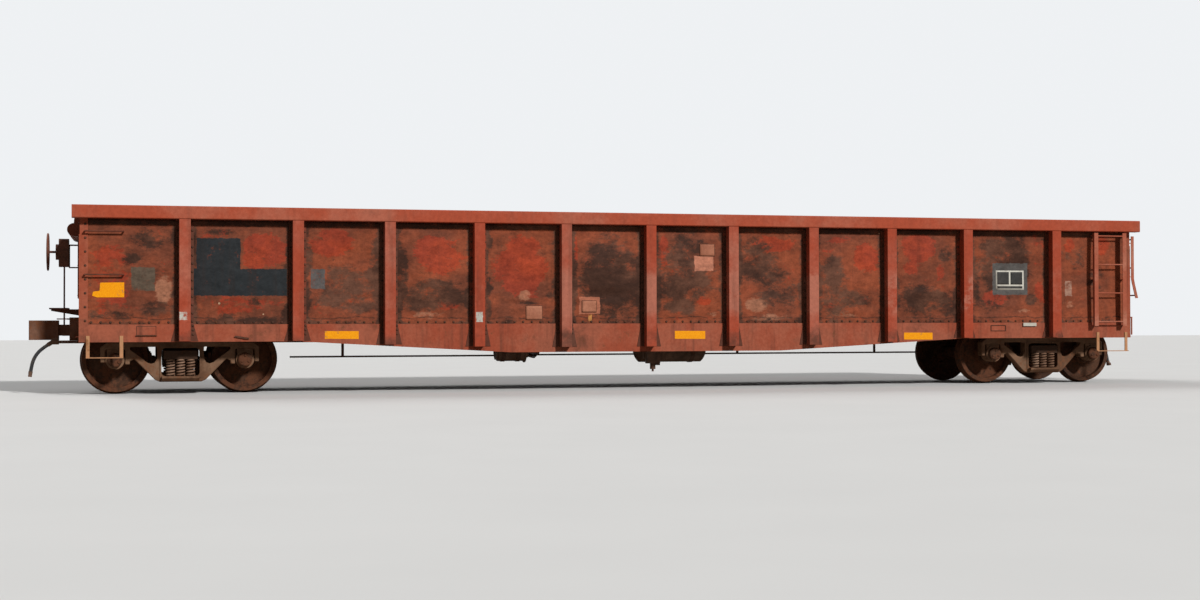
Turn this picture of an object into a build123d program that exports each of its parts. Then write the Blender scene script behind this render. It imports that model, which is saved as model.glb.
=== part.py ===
from build123d import *
import os
from math import cos, radians, sin, tan

os.makedirs("parts", exist_ok=True)

# High-sided mill gondola, in millimetres.
# X runs along the wagon with the hand brake at -X, Y runs across it and Z is up.
# Z = 0 is the plane that the wheel flanges stand on, so the rail head is one flange height up.
# Heights that end in _z are measured from Z = 0, places that end in _x from the middle of the wagon.

# Wheels and rail head
flange_height = 25.4
wheel_radius = 457.2
rail_z = flange_height
axle_z = rail_z + wheel_radius

# Load space
inside_length = 16002
inside_width = 2896
inside_height = 1524
floor_thickness = 8
floor_z = rail_z + 1067
floor_under_z = floor_z - floor_thickness
top_z = floor_z + inside_height

# Ends
end_sheet_thickness = 8
end_sheet_inner_x = inside_length / 2
end_sheet_outer_x = end_sheet_inner_x + end_sheet_thickness
end_overhang = 119
side_half_length = end_sheet_outer_x + end_overhang
corrugation_depth = 100
corrugation_half_height = 0.072 * inside_height
end_rail_bottom_z = top_z - 399
corrugation_shares = [0.216, 0.5, 0.784]
corrugation_heights = [floor_z + share * (end_rail_bottom_z - floor_z) for share in corrugation_shares]
end_rail_x = side_half_length + 72
bulb_centre_x = end_rail_x + 23
bulb_centre_z = top_z - 308
bulb_radius = 90
end_rail_nose_half = inside_width / 2 - 518
corner_post_plate = 10
corner_post_side_leg = 108
corner_post_end_leg = 130

# Side walls: a sheet, a fish-bellied sill lapped on its foot, a top chord and hat-section posts
sheet_thickness = 6
sheet_inner_y = inside_width / 2
sheet_outer_y = sheet_inner_y + sheet_thickness
chord_height = 180
chord_wall = 8
chord_radius = 16
chord_overhang = 102
chord_half_length = side_half_length + chord_overhang
chord_z = top_z - chord_height
drain_hole_radius = 12
drain_hole_setback = 100
end_post_x = side_half_length - 1397
end_bay = 1549.4
post_pitch = (end_post_x - end_bay) / 4
post_depth = 157
post_face_y = sheet_outer_y + post_depth
post_face_width = 152
post_wall = 8
post_splay = 6
post_flange_width = 40
sill_plate = 10
sill_outer_y = sheet_outer_y + sill_plate
sill_top_z = floor_z - 112
sheet_lap = 80
sill_end_z = floor_z - 355
sill_middle_z = sill_end_z - 174
belly_flat_half = 1.62 * post_pitch
belly_rise_half = 4 * post_pitch
sill_flange_width = 130
sill_flange_thickness = 12
foot_plate = 8
foot_plate_half_width = 185
foot_plate_top_half_width = 120

# Each row is a post: distance from the middle of the wagon, how far its foot stops above the sill's edge
posts = [
    (0, 77),
    (post_pitch, 77),
    (2 * post_pitch, 62),
    (3 * post_pitch, 25),
    (4 * post_pitch, 10),
    (end_post_x, 10),
]

# Underframe
sill_web_inner_y = 163.5
sill_web = 10
sill_web_outer_y = sill_web_inner_y + sill_web
centre_sill_depth = 330
centre_sill_z = floor_under_z - centre_sill_depth
centre_sill_flange = 75
centre_sill_flange_thickness = 15
sill_flange_outer_y = sill_web_outer_y + centre_sill_flange
sill_flange_top_z = centre_sill_z + centre_sill_flange_thickness
truck_centre_x = side_half_length - 1353
bolster_width = 320
bolster_end_z = sill_end_z + 148
side_bearing_y = 635
side_bearing_gap = 6
stringer_lines = [sheet_inner_y - 948, sheet_inner_y - 448]
stringer_width = 50
stringer_depth = 75
crossbearer_web = 8
crossbearer_end_z = sill_end_z + 58
cross_tie_z = floor_under_z - 159
crossbearer_flange_width = 100
crossbearer_flange = 10
end_sill_plate = 12
end_sill_rise = 32
end_sill_foot = 60

# Each row is a cross member: distance from the middle of the wagon, whether it is a deep crossbearer
cross_members = [(k * post_pitch, k % 2 == 1) for k in range(5)]

# Couplers: the head is drawn in plan about its pulling face, which looks outwards
coupler_z = rail_z + 876
striker_x = side_half_length + 172
pulling_face_x = striker_x + 485
shank_half_width = 65
shank_half_height = 80
coupler_pivot_x = striker_x - 230
coupler_pin_radius = 40
pin_clearance = 0.3
head_back_x = pulling_face_x - 330
head_half_height = 140
knuckle_half_height = 112
knuckle_pin_x = pulling_face_x - 150
knuckle_pin_y = -98
knuckle_pin_radius = 20
knuckle_barrel_radius = 62
striker_half_width = 260
striker_opening_half_width = 112
striker_top_play = 40
draft_gear_front_x = coupler_pivot_x - 85
draft_gear_length = 535
draft_gear_half_height = 150
yoke_plate = 35
yoke_half_width = 72
yoke_reach = 50

# Hand brake, at the -X end
brake_y = 500
brake_housing_back_x = -end_sheet_outer_x - 326
brake_housing_front_x = brake_housing_back_x - 185
brake_wheel_x = brake_housing_front_x - 110
brake_wheel_z = top_z - 567
brake_wheel_radius = 279
brake_rim_radius = 13
brake_housing_bottom_z = top_z - 786
brake_housing_top_z = top_z - 375
brake_housing_half_width = 150
brake_rod_x = brake_housing_back_x - 65
brake_rod_radius = 12
brake_step_z = floor_z + 133
brake_step_half_width = 300
brake_step_back_x = brake_housing_back_x
brake_step_front_x = brake_step_back_x - 265

# Steps, ladders and handholds
bar_radius = 11
step_bar = 12
step_bar_width = 48
step_tread_z = sill_end_z - 207
step_strap_top_z = sill_end_z + 88
# Each row is a sill step on the near side: middle of the tread, half its length
near_steps = [(331 - side_half_length, 222), (side_half_length - 333, 255)]
ladder_stiles = [side_half_length - 673, side_half_length - 163]
ladder_top_z = chord_z - 20
ladder_foot_z = sill_top_z - 55
ladder_rung_pitch = 457
ladder_rungs = [chord_z - 70 - k * ladder_rung_pitch for k in range(4)]
ladder_standoff = 121
ladder_y = sheet_outer_y + ladder_standoff
ladder_bar = 10
ladder_bar_width = 70
ladder_leg = 40
handhold_heights = [chord_z - 176, chord_z - 771]
handhold_x = side_half_length - 323
handhold_half_length = 265
handhold_standoff = 70
handhold_foot = 9
end_ladder_stiles = [end_rail_nose_half + 60, sheet_inner_y - 48]
end_ladder_x = side_half_length + 89
end_ladder_top_z = top_z - 241

# Air brake
train_pipe_radius = 21
train_pipe_y = 330
train_pipe_z = centre_sill_z - train_pipe_radius
train_pipe_end_x = side_half_length + 312
train_pipe_bend = 200
angle_cock_radius = 36
reservoir_y = -stringer_lines[0]
reservoir_radius = 200
reservoir_z = rail_z + 359 + reservoir_radius
reservoir_start_x = 40
reservoir_end_x = 1210
reservoir_dome = 90
cylinder_radius = 150
cylinder_z = rail_z + 390 + cylinder_radius
cylinder_start_x = -2140
cylinder_end_x = -1640
hanger_plate = 10
hanger_width = 60
valve_y = -stringer_lines[1]
valve_bracket_x = 240

# Air hoses
hose_radius = 25

# Trucks: sizes from the truck's own centre
axle_offset = 889
journal_y = 1003
journal_radius = 82
bearing_radius = 127
bearing_half_width = 98
bearing_clearance = 0.3
end_cap_radius = 98
end_cap_y = journal_y + 162
rim_back_y = 674
rim_width = 145
frame_half_thickness = 70
frame_inner_y = journal_y - frame_half_thickness
frame_face_y = journal_y + frame_half_thickness
pedestal_half_width = 132
adapter_half_width = 110
adapter_top = 150
spring_seat_z = rail_z + 229
spring_top_z = rail_z + 468
spring_radius = 62
spring_pitch = 138
spring_row = 72
window_half_width = 262
window_top_z = rail_z + 622
truck_bolster_half_width = 230
truck_bolster_end_y = journal_y + 127
truck_bolster_top_z = rail_z + 640
bowl_floor_z = rail_z + 654
centre_plate_radius = 203
bowl_clearance = 3
bowl_rim = 24
bowl_rim_height = 18
seat_clearance = 0.3
truck_side_bearing_z = rail_z + 700


def slab(x, y, z, mode=Mode.ADD):
    """Plate or bar given by its (low, high) span along each axis."""
    with Locations(((x[0] + x[1]) / 2, (y[0] + y[1]) / 2, (z[0] + z[1]) / 2)):
        Box(x[1] - x[0], y[1] - y[0], z[1] - z[0], mode=mode)


def sill_edge_z(x):
    """Height of the side sill's lower edge at a place along the wagon."""
    rise = (abs(x) - belly_flat_half) / (belly_rise_half - belly_flat_half)
    return sill_middle_z + (sill_end_z - sill_middle_z) * min(max(rise, 0), 1)


# Floor plate
with BuildPart() as floor_plate:
    with BuildSketch(Plane.XY.offset(floor_under_z)):
        Rectangle(inside_length, inside_width)
    extrude(amount=floor_thickness)
floor_plate.part.label = "floor_plate"
export_step(floor_plate.part, "parts/floor_plate.step")

# Side sheets, from the top chord down behind the side sills
with BuildPart() as side_sheets:
    with BuildSketch(Plane.XZ.offset(sheet_inner_y)):
        with Locations((0, (sill_top_z - sheet_lap + chord_z) / 2)):
            Rectangle(2 * side_half_length, chord_z - sill_top_z + sheet_lap)
    extrude(amount=sheet_thickness)
    mirror(about=Plane.XZ)
side_sheets.part.label = "side_sheets"
export_step(side_sheets.part, "parts/side_sheets.step")

# Side sills: a deep plate whose lower edge drops between the trucks, with an inward foot flange
belly = [
    (-side_half_length, sill_end_z),
    (-belly_rise_half, sill_end_z),
    (-belly_flat_half, sill_middle_z),
    (belly_flat_half, sill_middle_z),
    (belly_rise_half, sill_end_z),
    (side_half_length, sill_end_z),
]
with BuildPart() as side_sills:
    with BuildSketch(Plane.XZ.offset(sheet_outer_y)):
        with BuildLine():
            Polyline(*belly, (side_half_length, sill_top_z), (-side_half_length, sill_top_z), close=True)
        make_face()
    extrude(amount=sill_plate)
    with BuildSketch(Plane.XZ.offset(sheet_outer_y)):
        with BuildLine():
            raised = [(x, z + sill_flange_thickness) for x, z in reversed(belly)]
            Polyline(*belly, *raised, close=True)
        make_face()
    extrude(amount=-sill_flange_width)
    mirror(about=Plane.XZ)
side_sills.part.label = "side_sills"
export_step(side_sills.part, "parts/side_sills.step")

# Side posts: pressed hats on the sheet, running down over the sill to a flared foot plate
base_half = post_face_width / 2 + post_splay
face_half = post_face_width / 2
hat = [
    (-base_half - post_flange_width, 0),
    (-base_half - post_flange_width, post_wall),
    (-base_half, post_wall),
    (-face_half, post_depth),
    (face_half, post_depth),
    (base_half, post_wall),
    (base_half + post_flange_width, post_wall),
    (base_half + post_flange_width, 0),
    (base_half - post_wall, 0),
    (face_half - post_wall, post_depth - post_wall),
    (-face_half + post_wall, post_depth - post_wall),
    (-base_half + post_wall, 0),
]
stations = [(side * x, sill_edge_z(x) + rise) for x, rise in posts for side in ((1, -1) if x else (1,))]
foot_outer_y = sill_outer_y + foot_plate
with BuildPart() as side_posts:
    for x, foot_z in stations:
        with BuildSketch(Plane.XY.offset(foot_z)):
            with Locations((x, sheet_outer_y)):
                Polygon(*hat, align=None)
        extrude(amount=chord_z - foot_z)
    slab(
        (-side_half_length, side_half_length),
        (sheet_outer_y - 1, foot_outer_y),
        (sill_middle_z, sill_top_z),
        mode=Mode.SUBTRACT,
    )
    for x, foot_z in stations:
        with BuildSketch(Plane.XZ.offset(-foot_outer_y)):
            with BuildLine():
                Polyline(
                    (x - foot_plate_half_width, foot_z),
                    (x + foot_plate_half_width, foot_z),
                    (x + foot_plate_top_half_width, sill_top_z),
                    (x - foot_plate_top_half_width, sill_top_z),
                    close=True,
                )
            make_face()
        extrude(amount=foot_plate)
    mirror(about=Plane.XZ)
side_posts.part.label = "side_posts"
export_step(side_posts.part, "parts/side_posts.step")

# Top chords: rectangular tubes with plated ends and drain holes in their undersides
chord_width = post_face_y - sheet_inner_y
chord_centre_y = (post_face_y + sheet_inner_y) / 2
chord_centre_z = top_z - chord_height / 2
with BuildPart() as top_chords:
    with BuildSketch(Plane.YZ):
        with Locations((chord_centre_y, chord_centre_z)):
            RectangleRounded(chord_width, chord_height, chord_radius)
    extrude(amount=chord_half_length, both=True)
    with BuildSketch(Plane.YZ):
        with Locations((chord_centre_y, chord_centre_z)):
            Rectangle(chord_width - 2 * chord_wall, chord_height - 2 * chord_wall)
    extrude(amount=chord_half_length - chord_wall, both=True, mode=Mode.SUBTRACT)
    for x in (drain_hole_setback - chord_half_length, chord_half_length - drain_hole_setback):
        with Locations((x, chord_centre_y, chord_z)):
            Cylinder(drain_hole_radius, 4 * chord_wall, mode=Mode.SUBTRACT)
    mirror(about=Plane.XZ)
top_chords.part.label = "top_chords"
export_step(top_chords.part, "parts/top_chords.step")

# End sheets, with rounded corrugations that stand outwards
with BuildPart() as end_sheets:
    with BuildSketch(Plane.XZ.offset(-sheet_inner_y)):
        with BuildLine():
            low = (end_sheet_inner_x, floor_under_z)
            for middle in corrugation_heights:
                start = (end_sheet_inner_x, middle - corrugation_half_height)
                crest = (end_sheet_inner_x + corrugation_depth, middle)
                finish = (end_sheet_inner_x, middle + corrugation_half_height)
                Line(low, start)
                ThreePointArc(start, crest, finish)
                low = finish
            Line(low, (end_sheet_inner_x, end_rail_bottom_z))
            Line((end_sheet_inner_x, end_rail_bottom_z), (end_sheet_outer_x, end_rail_bottom_z))
            low = (end_sheet_outer_x, end_rail_bottom_z)
            for middle in reversed(corrugation_heights):
                start = (end_sheet_outer_x, middle + corrugation_half_height)
                crest = (end_sheet_outer_x + corrugation_depth, middle)
                finish = (end_sheet_outer_x, middle - corrugation_half_height)
                Line(low, start)
                ThreePointArc(start, crest, finish)
                low = finish
            Line(low, (end_sheet_outer_x, floor_under_z))
            Line((end_sheet_outer_x, floor_under_z), (end_sheet_inner_x, floor_under_z))
        make_face()
    extrude(amount=inside_width)
    mirror(about=Plane.YZ)
end_sheets.part.label = "end_sheets"
export_step(end_sheets.part, "parts/end_sheets.step")

# End top rails: a rail between the chords, and between the ladders a nose with a round bulb
with BuildPart() as end_top_rails:
    slab(
        (end_sheet_inner_x, side_half_length),
        (-sheet_inner_y, sheet_inner_y),
        (end_rail_bottom_z, top_z),
    )
    with BuildSketch(Plane.XZ.offset(-end_rail_nose_half)):
        with BuildLine():
            Polyline(
                (end_sheet_inner_x, end_rail_bottom_z),
                (bulb_centre_x, end_rail_bottom_z),
                (bulb_centre_x, bulb_centre_z + bulb_radius),
                (end_rail_x, top_z),
                (end_sheet_inner_x, top_z),
                close=True,
            )
        make_face()
        with Locations((bulb_centre_x, bulb_centre_z)):
            Circle(bulb_radius)
    extrude(amount=2 * end_rail_nose_half)
    mirror(about=Plane.YZ)
end_top_rails.part.label = "end_top_rails"
export_step(end_top_rails.part, "parts/end_top_rails.step")

# Corner posts: a leg on the side sheet and a leg across the end
with BuildPart() as corner_posts:
    slab(
        (side_half_length - corner_post_side_leg, side_half_length),
        (sheet_outer_y, sheet_outer_y + corner_post_plate),
        (sill_top_z, chord_z),
    )
    slab(
        (side_half_length, side_half_length + corner_post_plate),
        (sheet_inner_y - corner_post_end_leg, sheet_outer_y + corner_post_plate),
        (sill_end_z, end_rail_bottom_z),
    )
    mirror(about=Plane.XZ)
    mirror(about=Plane.YZ)
corner_posts.part.label = "corner_posts"
export_step(corner_posts.part, "parts/corner_posts.step")

# Centre sill: a top plate, two webs and outward foot flanges, open below
with BuildPart() as centre_sill:
    with BuildSketch(Plane.YZ):
        with BuildLine():
            half = [
                (sill_web_outer_y, floor_under_z),
                (sill_web_outer_y, sill_flange_top_z),
                (sill_flange_outer_y, sill_flange_top_z),
                (sill_flange_outer_y, centre_sill_z),
                (sill_web_inner_y, centre_sill_z),
                (sill_web_inner_y, floor_under_z - sill_web),
            ]
            Polyline(*half, *[(-y, z) for y, z in reversed(half)], close=True)
        make_face()
    extrude(amount=side_half_length, both=True)
centre_sill.part.label = "centre_sill"
export_step(centre_sill.part, "parts/centre_sill.step")

# Body bolsters, tapering out to the sides, with the pads of the side bearings under them
body_bearing_z = truck_side_bearing_z + side_bearing_gap
bearing_pad_half_length = 110
bearing_pad_half_width = 70
bearing_pad_height = 270
with BuildPart() as body_bolsters:
    with BuildSketch(Plane.YZ.offset(truck_centre_x)):
        with BuildLine():
            Polyline(
                (sill_web_outer_y, floor_under_z),
                (sheet_inner_y, floor_under_z),
                (sheet_inner_y, bolster_end_z),
                (sill_flange_outer_y, sill_flange_top_z),
                (sill_web_outer_y, sill_flange_top_z),
                close=True,
            )
        make_face()
    extrude(amount=bolster_width / 2, both=True)
    slab(
        (truck_centre_x - bearing_pad_half_length, truck_centre_x + bearing_pad_half_length),
        (side_bearing_y - bearing_pad_half_width, side_bearing_y + bearing_pad_half_width),
        (body_bearing_z, body_bearing_z + bearing_pad_height),
    )
    mirror(about=Plane.XZ)
    mirror(about=Plane.YZ)
body_bolsters.part.label = "body_bolsters"
export_step(body_bolsters.part, "parts/body_bolsters.step")

# Body centre plates: a cover plate under the centre sill and a round boss that sits in the truck's bowl
cover_plate = 26
cover_half_length = 250
with BuildPart() as centre_plates:
    slab(
        (truck_centre_x - cover_half_length, truck_centre_x + cover_half_length),
        (-sill_flange_outer_y, sill_flange_outer_y),
        (centre_sill_z - cover_plate, centre_sill_z),
    )
    with BuildSketch(Plane.XY.offset(bowl_floor_z + seat_clearance)):
        with Locations((truck_centre_x, 0)):
            Circle(centre_plate_radius)
    extrude(amount=centre_sill_z - cover_plate - bowl_floor_z - seat_clearance)
    mirror(about=Plane.YZ)
centre_plates.part.label = "centre_plates"
export_step(centre_plates.part, "parts/centre_plates.step")

# Floor stringers: bars under the floor, broken at the body bolsters
bolster_faces = (truck_centre_x - bolster_width / 2, truck_centre_x + bolster_width / 2)
stringer_spans = [
    (-bolster_faces[0], bolster_faces[0]),
    (bolster_faces[1], end_sheet_inner_x),
    (-end_sheet_inner_x, -bolster_faces[1]),
]
with BuildPart() as stringers:
    for line in stringer_lines:
        for span in stringer_spans:
            slab(
                span,
                (line - stringer_width / 2, line + stringer_width / 2),
                (floor_under_z - stringer_depth, floor_under_z),
            )
    mirror(about=Plane.XZ)
stringers.part.label = "floor_stringers"
export_step(stringers.part, "parts/floor_stringers.step")

# Crossbearers and cross ties, between the centre sill and the sides, notched round the stringers
with BuildPart() as crossbearers:
    for distance, deep in cross_members:
        for x in sorted({distance, -distance}):
            with BuildSketch(Plane.YZ.offset(x - crossbearer_web / 2)):
                with BuildLine():
                    inner_z = sill_flange_top_z if deep else cross_tie_z
                    outer_z = crossbearer_end_z if deep else cross_tie_z
                    Polyline(
                        (sill_web_outer_y, floor_under_z),
                        (sheet_inner_y, floor_under_z),
                        (sheet_inner_y, outer_z),
                        (sill_web_outer_y, inner_z),
                        close=True,
                    )
                make_face()
            extrude(amount=crossbearer_web)
            with BuildSketch(Plane.YZ.offset(x - crossbearer_flange_width / 2)):
                with BuildLine():
                    Polyline(
                        (sill_web_outer_y, inner_z),
                        (sheet_inner_y, outer_z),
                        (sheet_inner_y, outer_z + crossbearer_flange),
                        (sill_web_outer_y, inner_z + crossbearer_flange),
                        close=True,
                    )
                make_face()
            extrude(amount=crossbearer_flange_width)
    for line in stringer_lines:
        slab(
            (-end_sheet_inner_x, end_sheet_inner_x),
            (line - stringer_width / 2, line + stringer_width / 2),
            (floor_under_z - stringer_depth, floor_under_z),
            mode=Mode.SUBTRACT,
        )
    mirror(about=Plane.XZ)
crossbearers.part.label = "crossbearers"
export_step(crossbearers.part, "parts/crossbearers.step")

# End sills: channels across the ends, either side of the striker, with their feet turned outwards
end_sill_z = sill_flange_top_z + end_sill_rise
with BuildPart() as end_sills:
    with BuildSketch(Plane.XZ.offset(-sheet_inner_y)):
        with BuildLine():
            Polyline(
                (end_sheet_inner_x, floor_under_z),
                (side_half_length, floor_under_z),
                (side_half_length, end_sill_z),
                (side_half_length - end_sill_plate, end_sill_z),
                (side_half_length - end_sill_plate, floor_under_z - end_sill_plate),
                (end_sheet_inner_x, floor_under_z - end_sill_plate),
                close=True,
            )
        make_face()
    extrude(amount=sheet_inner_y - sill_web_outer_y)
    slab(
        (side_half_length, side_half_length + end_sill_foot),
        (striker_half_width, sheet_inner_y - corner_post_end_leg),
        (end_sill_z, end_sill_z + end_sill_plate),
    )
    mirror(about=Plane.XZ)
    mirror(about=Plane.YZ)
end_sills.part.label = "end_sills"
export_step(end_sills.part, "parts/end_sills.step")

# Strikers: cast frames on the ends of the centre sill, whose lower bar carries the coupler shank
striker_opening_z = (
    coupler_z - shank_half_height - pin_clearance,
    coupler_z + shank_half_height + striker_top_play,
)
with BuildPart() as strikers:
    slab(
        (side_half_length, striker_x),
        (-striker_half_width, striker_half_width),
        (centre_sill_z, floor_under_z),
    )
    slab(
        (side_half_length, striker_x),
        (-striker_opening_half_width, striker_opening_half_width),
        striker_opening_z,
        mode=Mode.SUBTRACT,
    )
    mirror(about=Plane.YZ)
strikers.part.label = "strikers"
export_step(strikers.part, "parts/strikers.step")

# Draft gears: blocks held between the sill webs, each with a forked yoke and its upright pin
with BuildPart() as draft_gears:
    slab(
        (draft_gear_front_x - draft_gear_length, draft_gear_front_x),
        (-sill_web_inner_y, sill_web_inner_y),
        (coupler_z - draft_gear_half_height, coupler_z + draft_gear_half_height),
    )
    fork_gap = shank_half_height + pin_clearance
    for low, high in ((-fork_gap - yoke_plate, -fork_gap), (fork_gap, fork_gap + yoke_plate)):
        slab(
            (draft_gear_front_x, coupler_pivot_x + yoke_reach),
            (-yoke_half_width, yoke_half_width),
            (coupler_z + low, coupler_z + high),
        )
    with Locations((coupler_pivot_x, 0, coupler_z)):
        Cylinder(coupler_pin_radius, 2 * fork_gap)
    mirror(about=Plane.YZ)
draft_gears.part.label = "draft_gears"
export_step(draft_gears.part, "parts/draft_gears.step")

# Side ladders: angle stiles stood off the side on brackets, with round rungs between them
stile_front_y = -ladder_y - ladder_bar / 2
stile_back_y = stile_front_y + ladder_bar
# Each row is a bracket: height of its lower face, the face that it is bolted to
ladder_brackets = [
    (ladder_foot_z + 5, -sill_outer_y),
    (handhold_heights[1], -sheet_outer_y),
    (chord_z - 66, -sheet_outer_y),
]
with BuildPart() as side_ladders:
    for x, way in zip(ladder_stiles, (-1, 1)):
        across = (x - ladder_bar_width / 2, x + ladder_bar_width / 2)
        slab(across, (stile_front_y, stile_back_y), (ladder_foot_z, ladder_top_z))
        leg = sorted((x + way * ladder_bar_width / 2, x + way * (ladder_bar_width / 2 - ladder_bar)))
        slab(leg, (stile_back_y, stile_back_y + ladder_leg), (ladder_foot_z, ladder_top_z))
        for bracket_z, wall_y in ladder_brackets:
            slab(across, (stile_back_y, wall_y), (bracket_z, bracket_z + ladder_bar))
    for rung_z in ladder_rungs:
        with Locations((sum(ladder_stiles) / 2, stile_front_y + bar_radius, rung_z)):
            Cylinder(bar_radius, ladder_stiles[1] - ladder_stiles[0], rotation=(0, 90, 0))
    add(side_ladders.part.rotate(Axis.Z, 180))
side_ladders.part.label = "side_ladders"
export_step(side_ladders.part, "parts/side_ladders.step")

# End ladders: the one beside the +X side ladder is bent outwards at its foot
# Each row is an end ladder: turn about Z, how far the foot is bent out
end_ladders = [(0, 75), (180, 0)]
# Each row is a point of a stile: drop below its top, share of the bend
stile_line = [(0, 0), (690, 0), (780, 0.25), (1000, 1)]
# Each row is a rung: drop below the stile's top, share of the bend
end_rungs = [(50, 0), (510, 0), (955, 0.85)]
# Each row is a bracket: stile, drop below the stile's top, the face that it is bolted to
end_brackets = [
    (0, 115, side_half_length),
    (1, 115, side_half_length),
    (0, 560, end_sheet_outer_x),
    (1, 660, side_half_length + corner_post_plate),
]
ladder_middle_x = end_ladder_x + ladder_bar / 2
ladder_parts = []
for turn, bend in end_ladders:
    with BuildPart() as one_ladder:
        spine = [(end_ladder_x + share * bend, end_ladder_top_z - drop) for drop, share in stile_line]
        for y, way in zip(end_ladder_stiles, (-1, 1)):
            with BuildSketch(Plane.XZ.offset(y - ladder_bar_width / 2)):
                Polygon(*spine, *[(x + ladder_bar, z) for x, z in reversed(spine)], align=None)
            extrude(amount=ladder_bar_width)
            with BuildSketch(Plane.XZ.offset(y + way * ladder_bar_width / 2)):
                Polygon(*spine, *[(x - ladder_leg, z) for x, z in reversed(spine)], align=None)
            extrude(amount=-way * ladder_bar)
        for stile, drop, wall_x in end_brackets:
            y = end_ladder_stiles[stile]
            slab(
                (wall_x, ladder_middle_x),
                (-y - ladder_bar_width / 2, -y + ladder_bar_width / 2),
                (end_ladder_top_z - drop, end_ladder_top_z - drop + ladder_bar),
            )
        for drop, share in end_rungs:
            middle = (ladder_middle_x + bend * share, -sum(end_ladder_stiles) / 2, end_ladder_top_z - drop)
            with Locations(middle):
                Cylinder(bar_radius, end_ladder_stiles[1] - end_ladder_stiles[0], rotation=(90, 0, 0))
    ladder_parts.append(one_ladder.part.rotate(Axis.Z, turn))
with BuildPart() as end_ladder_pair:
    for piece in ladder_parts:
        add(piece)
end_ladder_pair.part.label = "end_ladders"
export_step(end_ladder_pair.part, "parts/end_ladders.step")

# Handholds: round bars on short feet, two on the near side at -X and two on the far side at +X
# Each row is a foot: its place along X, the face that it is bolted to
handhold_feet = [
    (-handhold_x - handhold_half_length + handhold_foot, -sheet_outer_y - corner_post_plate),
    (-handhold_x + handhold_half_length - handhold_foot, -sheet_outer_y),
]
with BuildPart() as handholds:
    bar_y = -sheet_outer_y - handhold_standoff
    for bar_z in handhold_heights:
        with Locations((-handhold_x, bar_y, bar_z)):
            Cylinder(bar_radius, 2 * handhold_half_length, rotation=(0, 90, 0))
        for x, wall_y in handhold_feet:
            slab(
                (x - handhold_foot, x + handhold_foot),
                (bar_y, wall_y),
                (bar_z - handhold_foot, bar_z + handhold_foot),
            )
    add(handholds.part.rotate(Axis.Z, 180))
handholds.part.label = "handholds"
export_step(handholds.part, "parts/handholds.step")

# Sill steps: straps bolted to the faces of the side sills, with a tread between their feet
with BuildPart() as sill_steps:
    for middle, half in near_steps:
        for x in (middle - half, middle + half):
            slab(
                (x - step_bar_width / 2, x + step_bar_width / 2),
                (-sill_outer_y - step_bar, -sill_outer_y),
                (step_tread_z - step_bar, step_strap_top_z),
            )
        slab(
            (middle - half - step_bar_width / 2, middle + half + step_bar_width / 2),
            (-sill_outer_y - step_bar_width, -sill_outer_y),
            (step_tread_z - step_bar, step_tread_z),
        )
    add(sill_steps.part.rotate(Axis.Z, 180))
sill_steps.part.label = "sill_steps"
export_step(sill_steps.part, "parts/sill_steps.step")

# Brake bracket: two shelves off the end sheet and the plate that the hand brake is bolted to
bracket_plate = 12
bracket_shelves = [top_z - 801, top_z - 471]
bracket_half_width = 120
with BuildPart() as brake_bracket:
    for shelf_z in bracket_shelves:
        slab(
            (brake_housing_back_x, -end_sheet_outer_x),
            (brake_y - bracket_half_width, brake_y + bracket_half_width),
            (shelf_z, shelf_z + bracket_plate),
        )
    slab(
        (brake_housing_back_x, brake_housing_back_x + bracket_plate),
        (brake_y - bracket_half_width, brake_y + bracket_half_width),
        (bracket_shelves[0], bracket_shelves[1] + bracket_plate),
    )
brake_bracket.part.label = "brake_bracket"
export_step(brake_bracket.part, "parts/brake_bracket.step")

# Brake housing: a rounded case with a round gear cover and the wheel's shaft
housing_case_depth = 140
housing_corner = 55
gear_cover_radius = 115
brake_shaft_radius = 17
brake_hub_half = 22
brake_hub_back_x = brake_wheel_x + brake_hub_half
housing_case_x = brake_housing_back_x - housing_case_depth
with BuildPart() as brake_housing:
    with BuildSketch(Plane.YZ.offset(housing_case_x)):
        with Locations((brake_y, (brake_housing_bottom_z + brake_housing_top_z) / 2)):
            RectangleRounded(
                2 * brake_housing_half_width,
                brake_housing_top_z - brake_housing_bottom_z,
                housing_corner,
            )
    extrude(amount=housing_case_depth)
    with BuildSketch(Plane.YZ.offset(brake_housing_front_x)):
        with Locations((brake_y, brake_wheel_z)):
            Circle(gear_cover_radius)
    extrude(amount=housing_case_x - brake_housing_front_x)
    with BuildSketch(Plane.YZ.offset(brake_hub_back_x)):
        with Locations((brake_y, brake_wheel_z)):
            Circle(brake_shaft_radius)
    extrude(amount=brake_housing_front_x - brake_hub_back_x)
brake_housing.part.label = "brake_housing"
export_step(brake_housing.part, "parts/brake_housing.step")

# Brake wheel: a pressed rim, eight-sided in section, on five spokes
brake_spokes = 5
brake_hub_radius = 36
brake_spoke_radius = 9
rim_sides = 8
rim_line_radius = brake_wheel_radius - brake_rim_radius
spoke_lap = 4
spoke_middle = (brake_hub_radius + rim_line_radius - spoke_lap) / 2
brake_plane = Plane(origin=(brake_wheel_x, brake_y, brake_wheel_z), x_dir=(0, 1, 0), z_dir=(1, 0, 0))
with BuildPart() as brake_wheel:
    with BuildSketch(brake_plane):
        Circle(brake_hub_radius)
    extrude(amount=brake_hub_half, both=True)
    with BuildSketch(Plane(origin=brake_plane.origin, x_dir=(0, 1, 0), z_dir=(0, 0, 1))):
        with Locations((rim_line_radius, 0)):
            RegularPolygon(brake_rim_radius, rim_sides)
    revolve(axis=Axis(brake_plane.origin, (1, 0, 0)))
    with Locations(brake_plane):
        with PolarLocations(spoke_middle, brake_spokes, start_angle=90):
            Cylinder(brake_spoke_radius, rim_line_radius - brake_hub_radius + spoke_lap, rotation=(0, 90, 0))
brake_wheel.part.label = "brake_wheel"
export_step(brake_wheel.part, "parts/brake_wheel.step")

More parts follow.
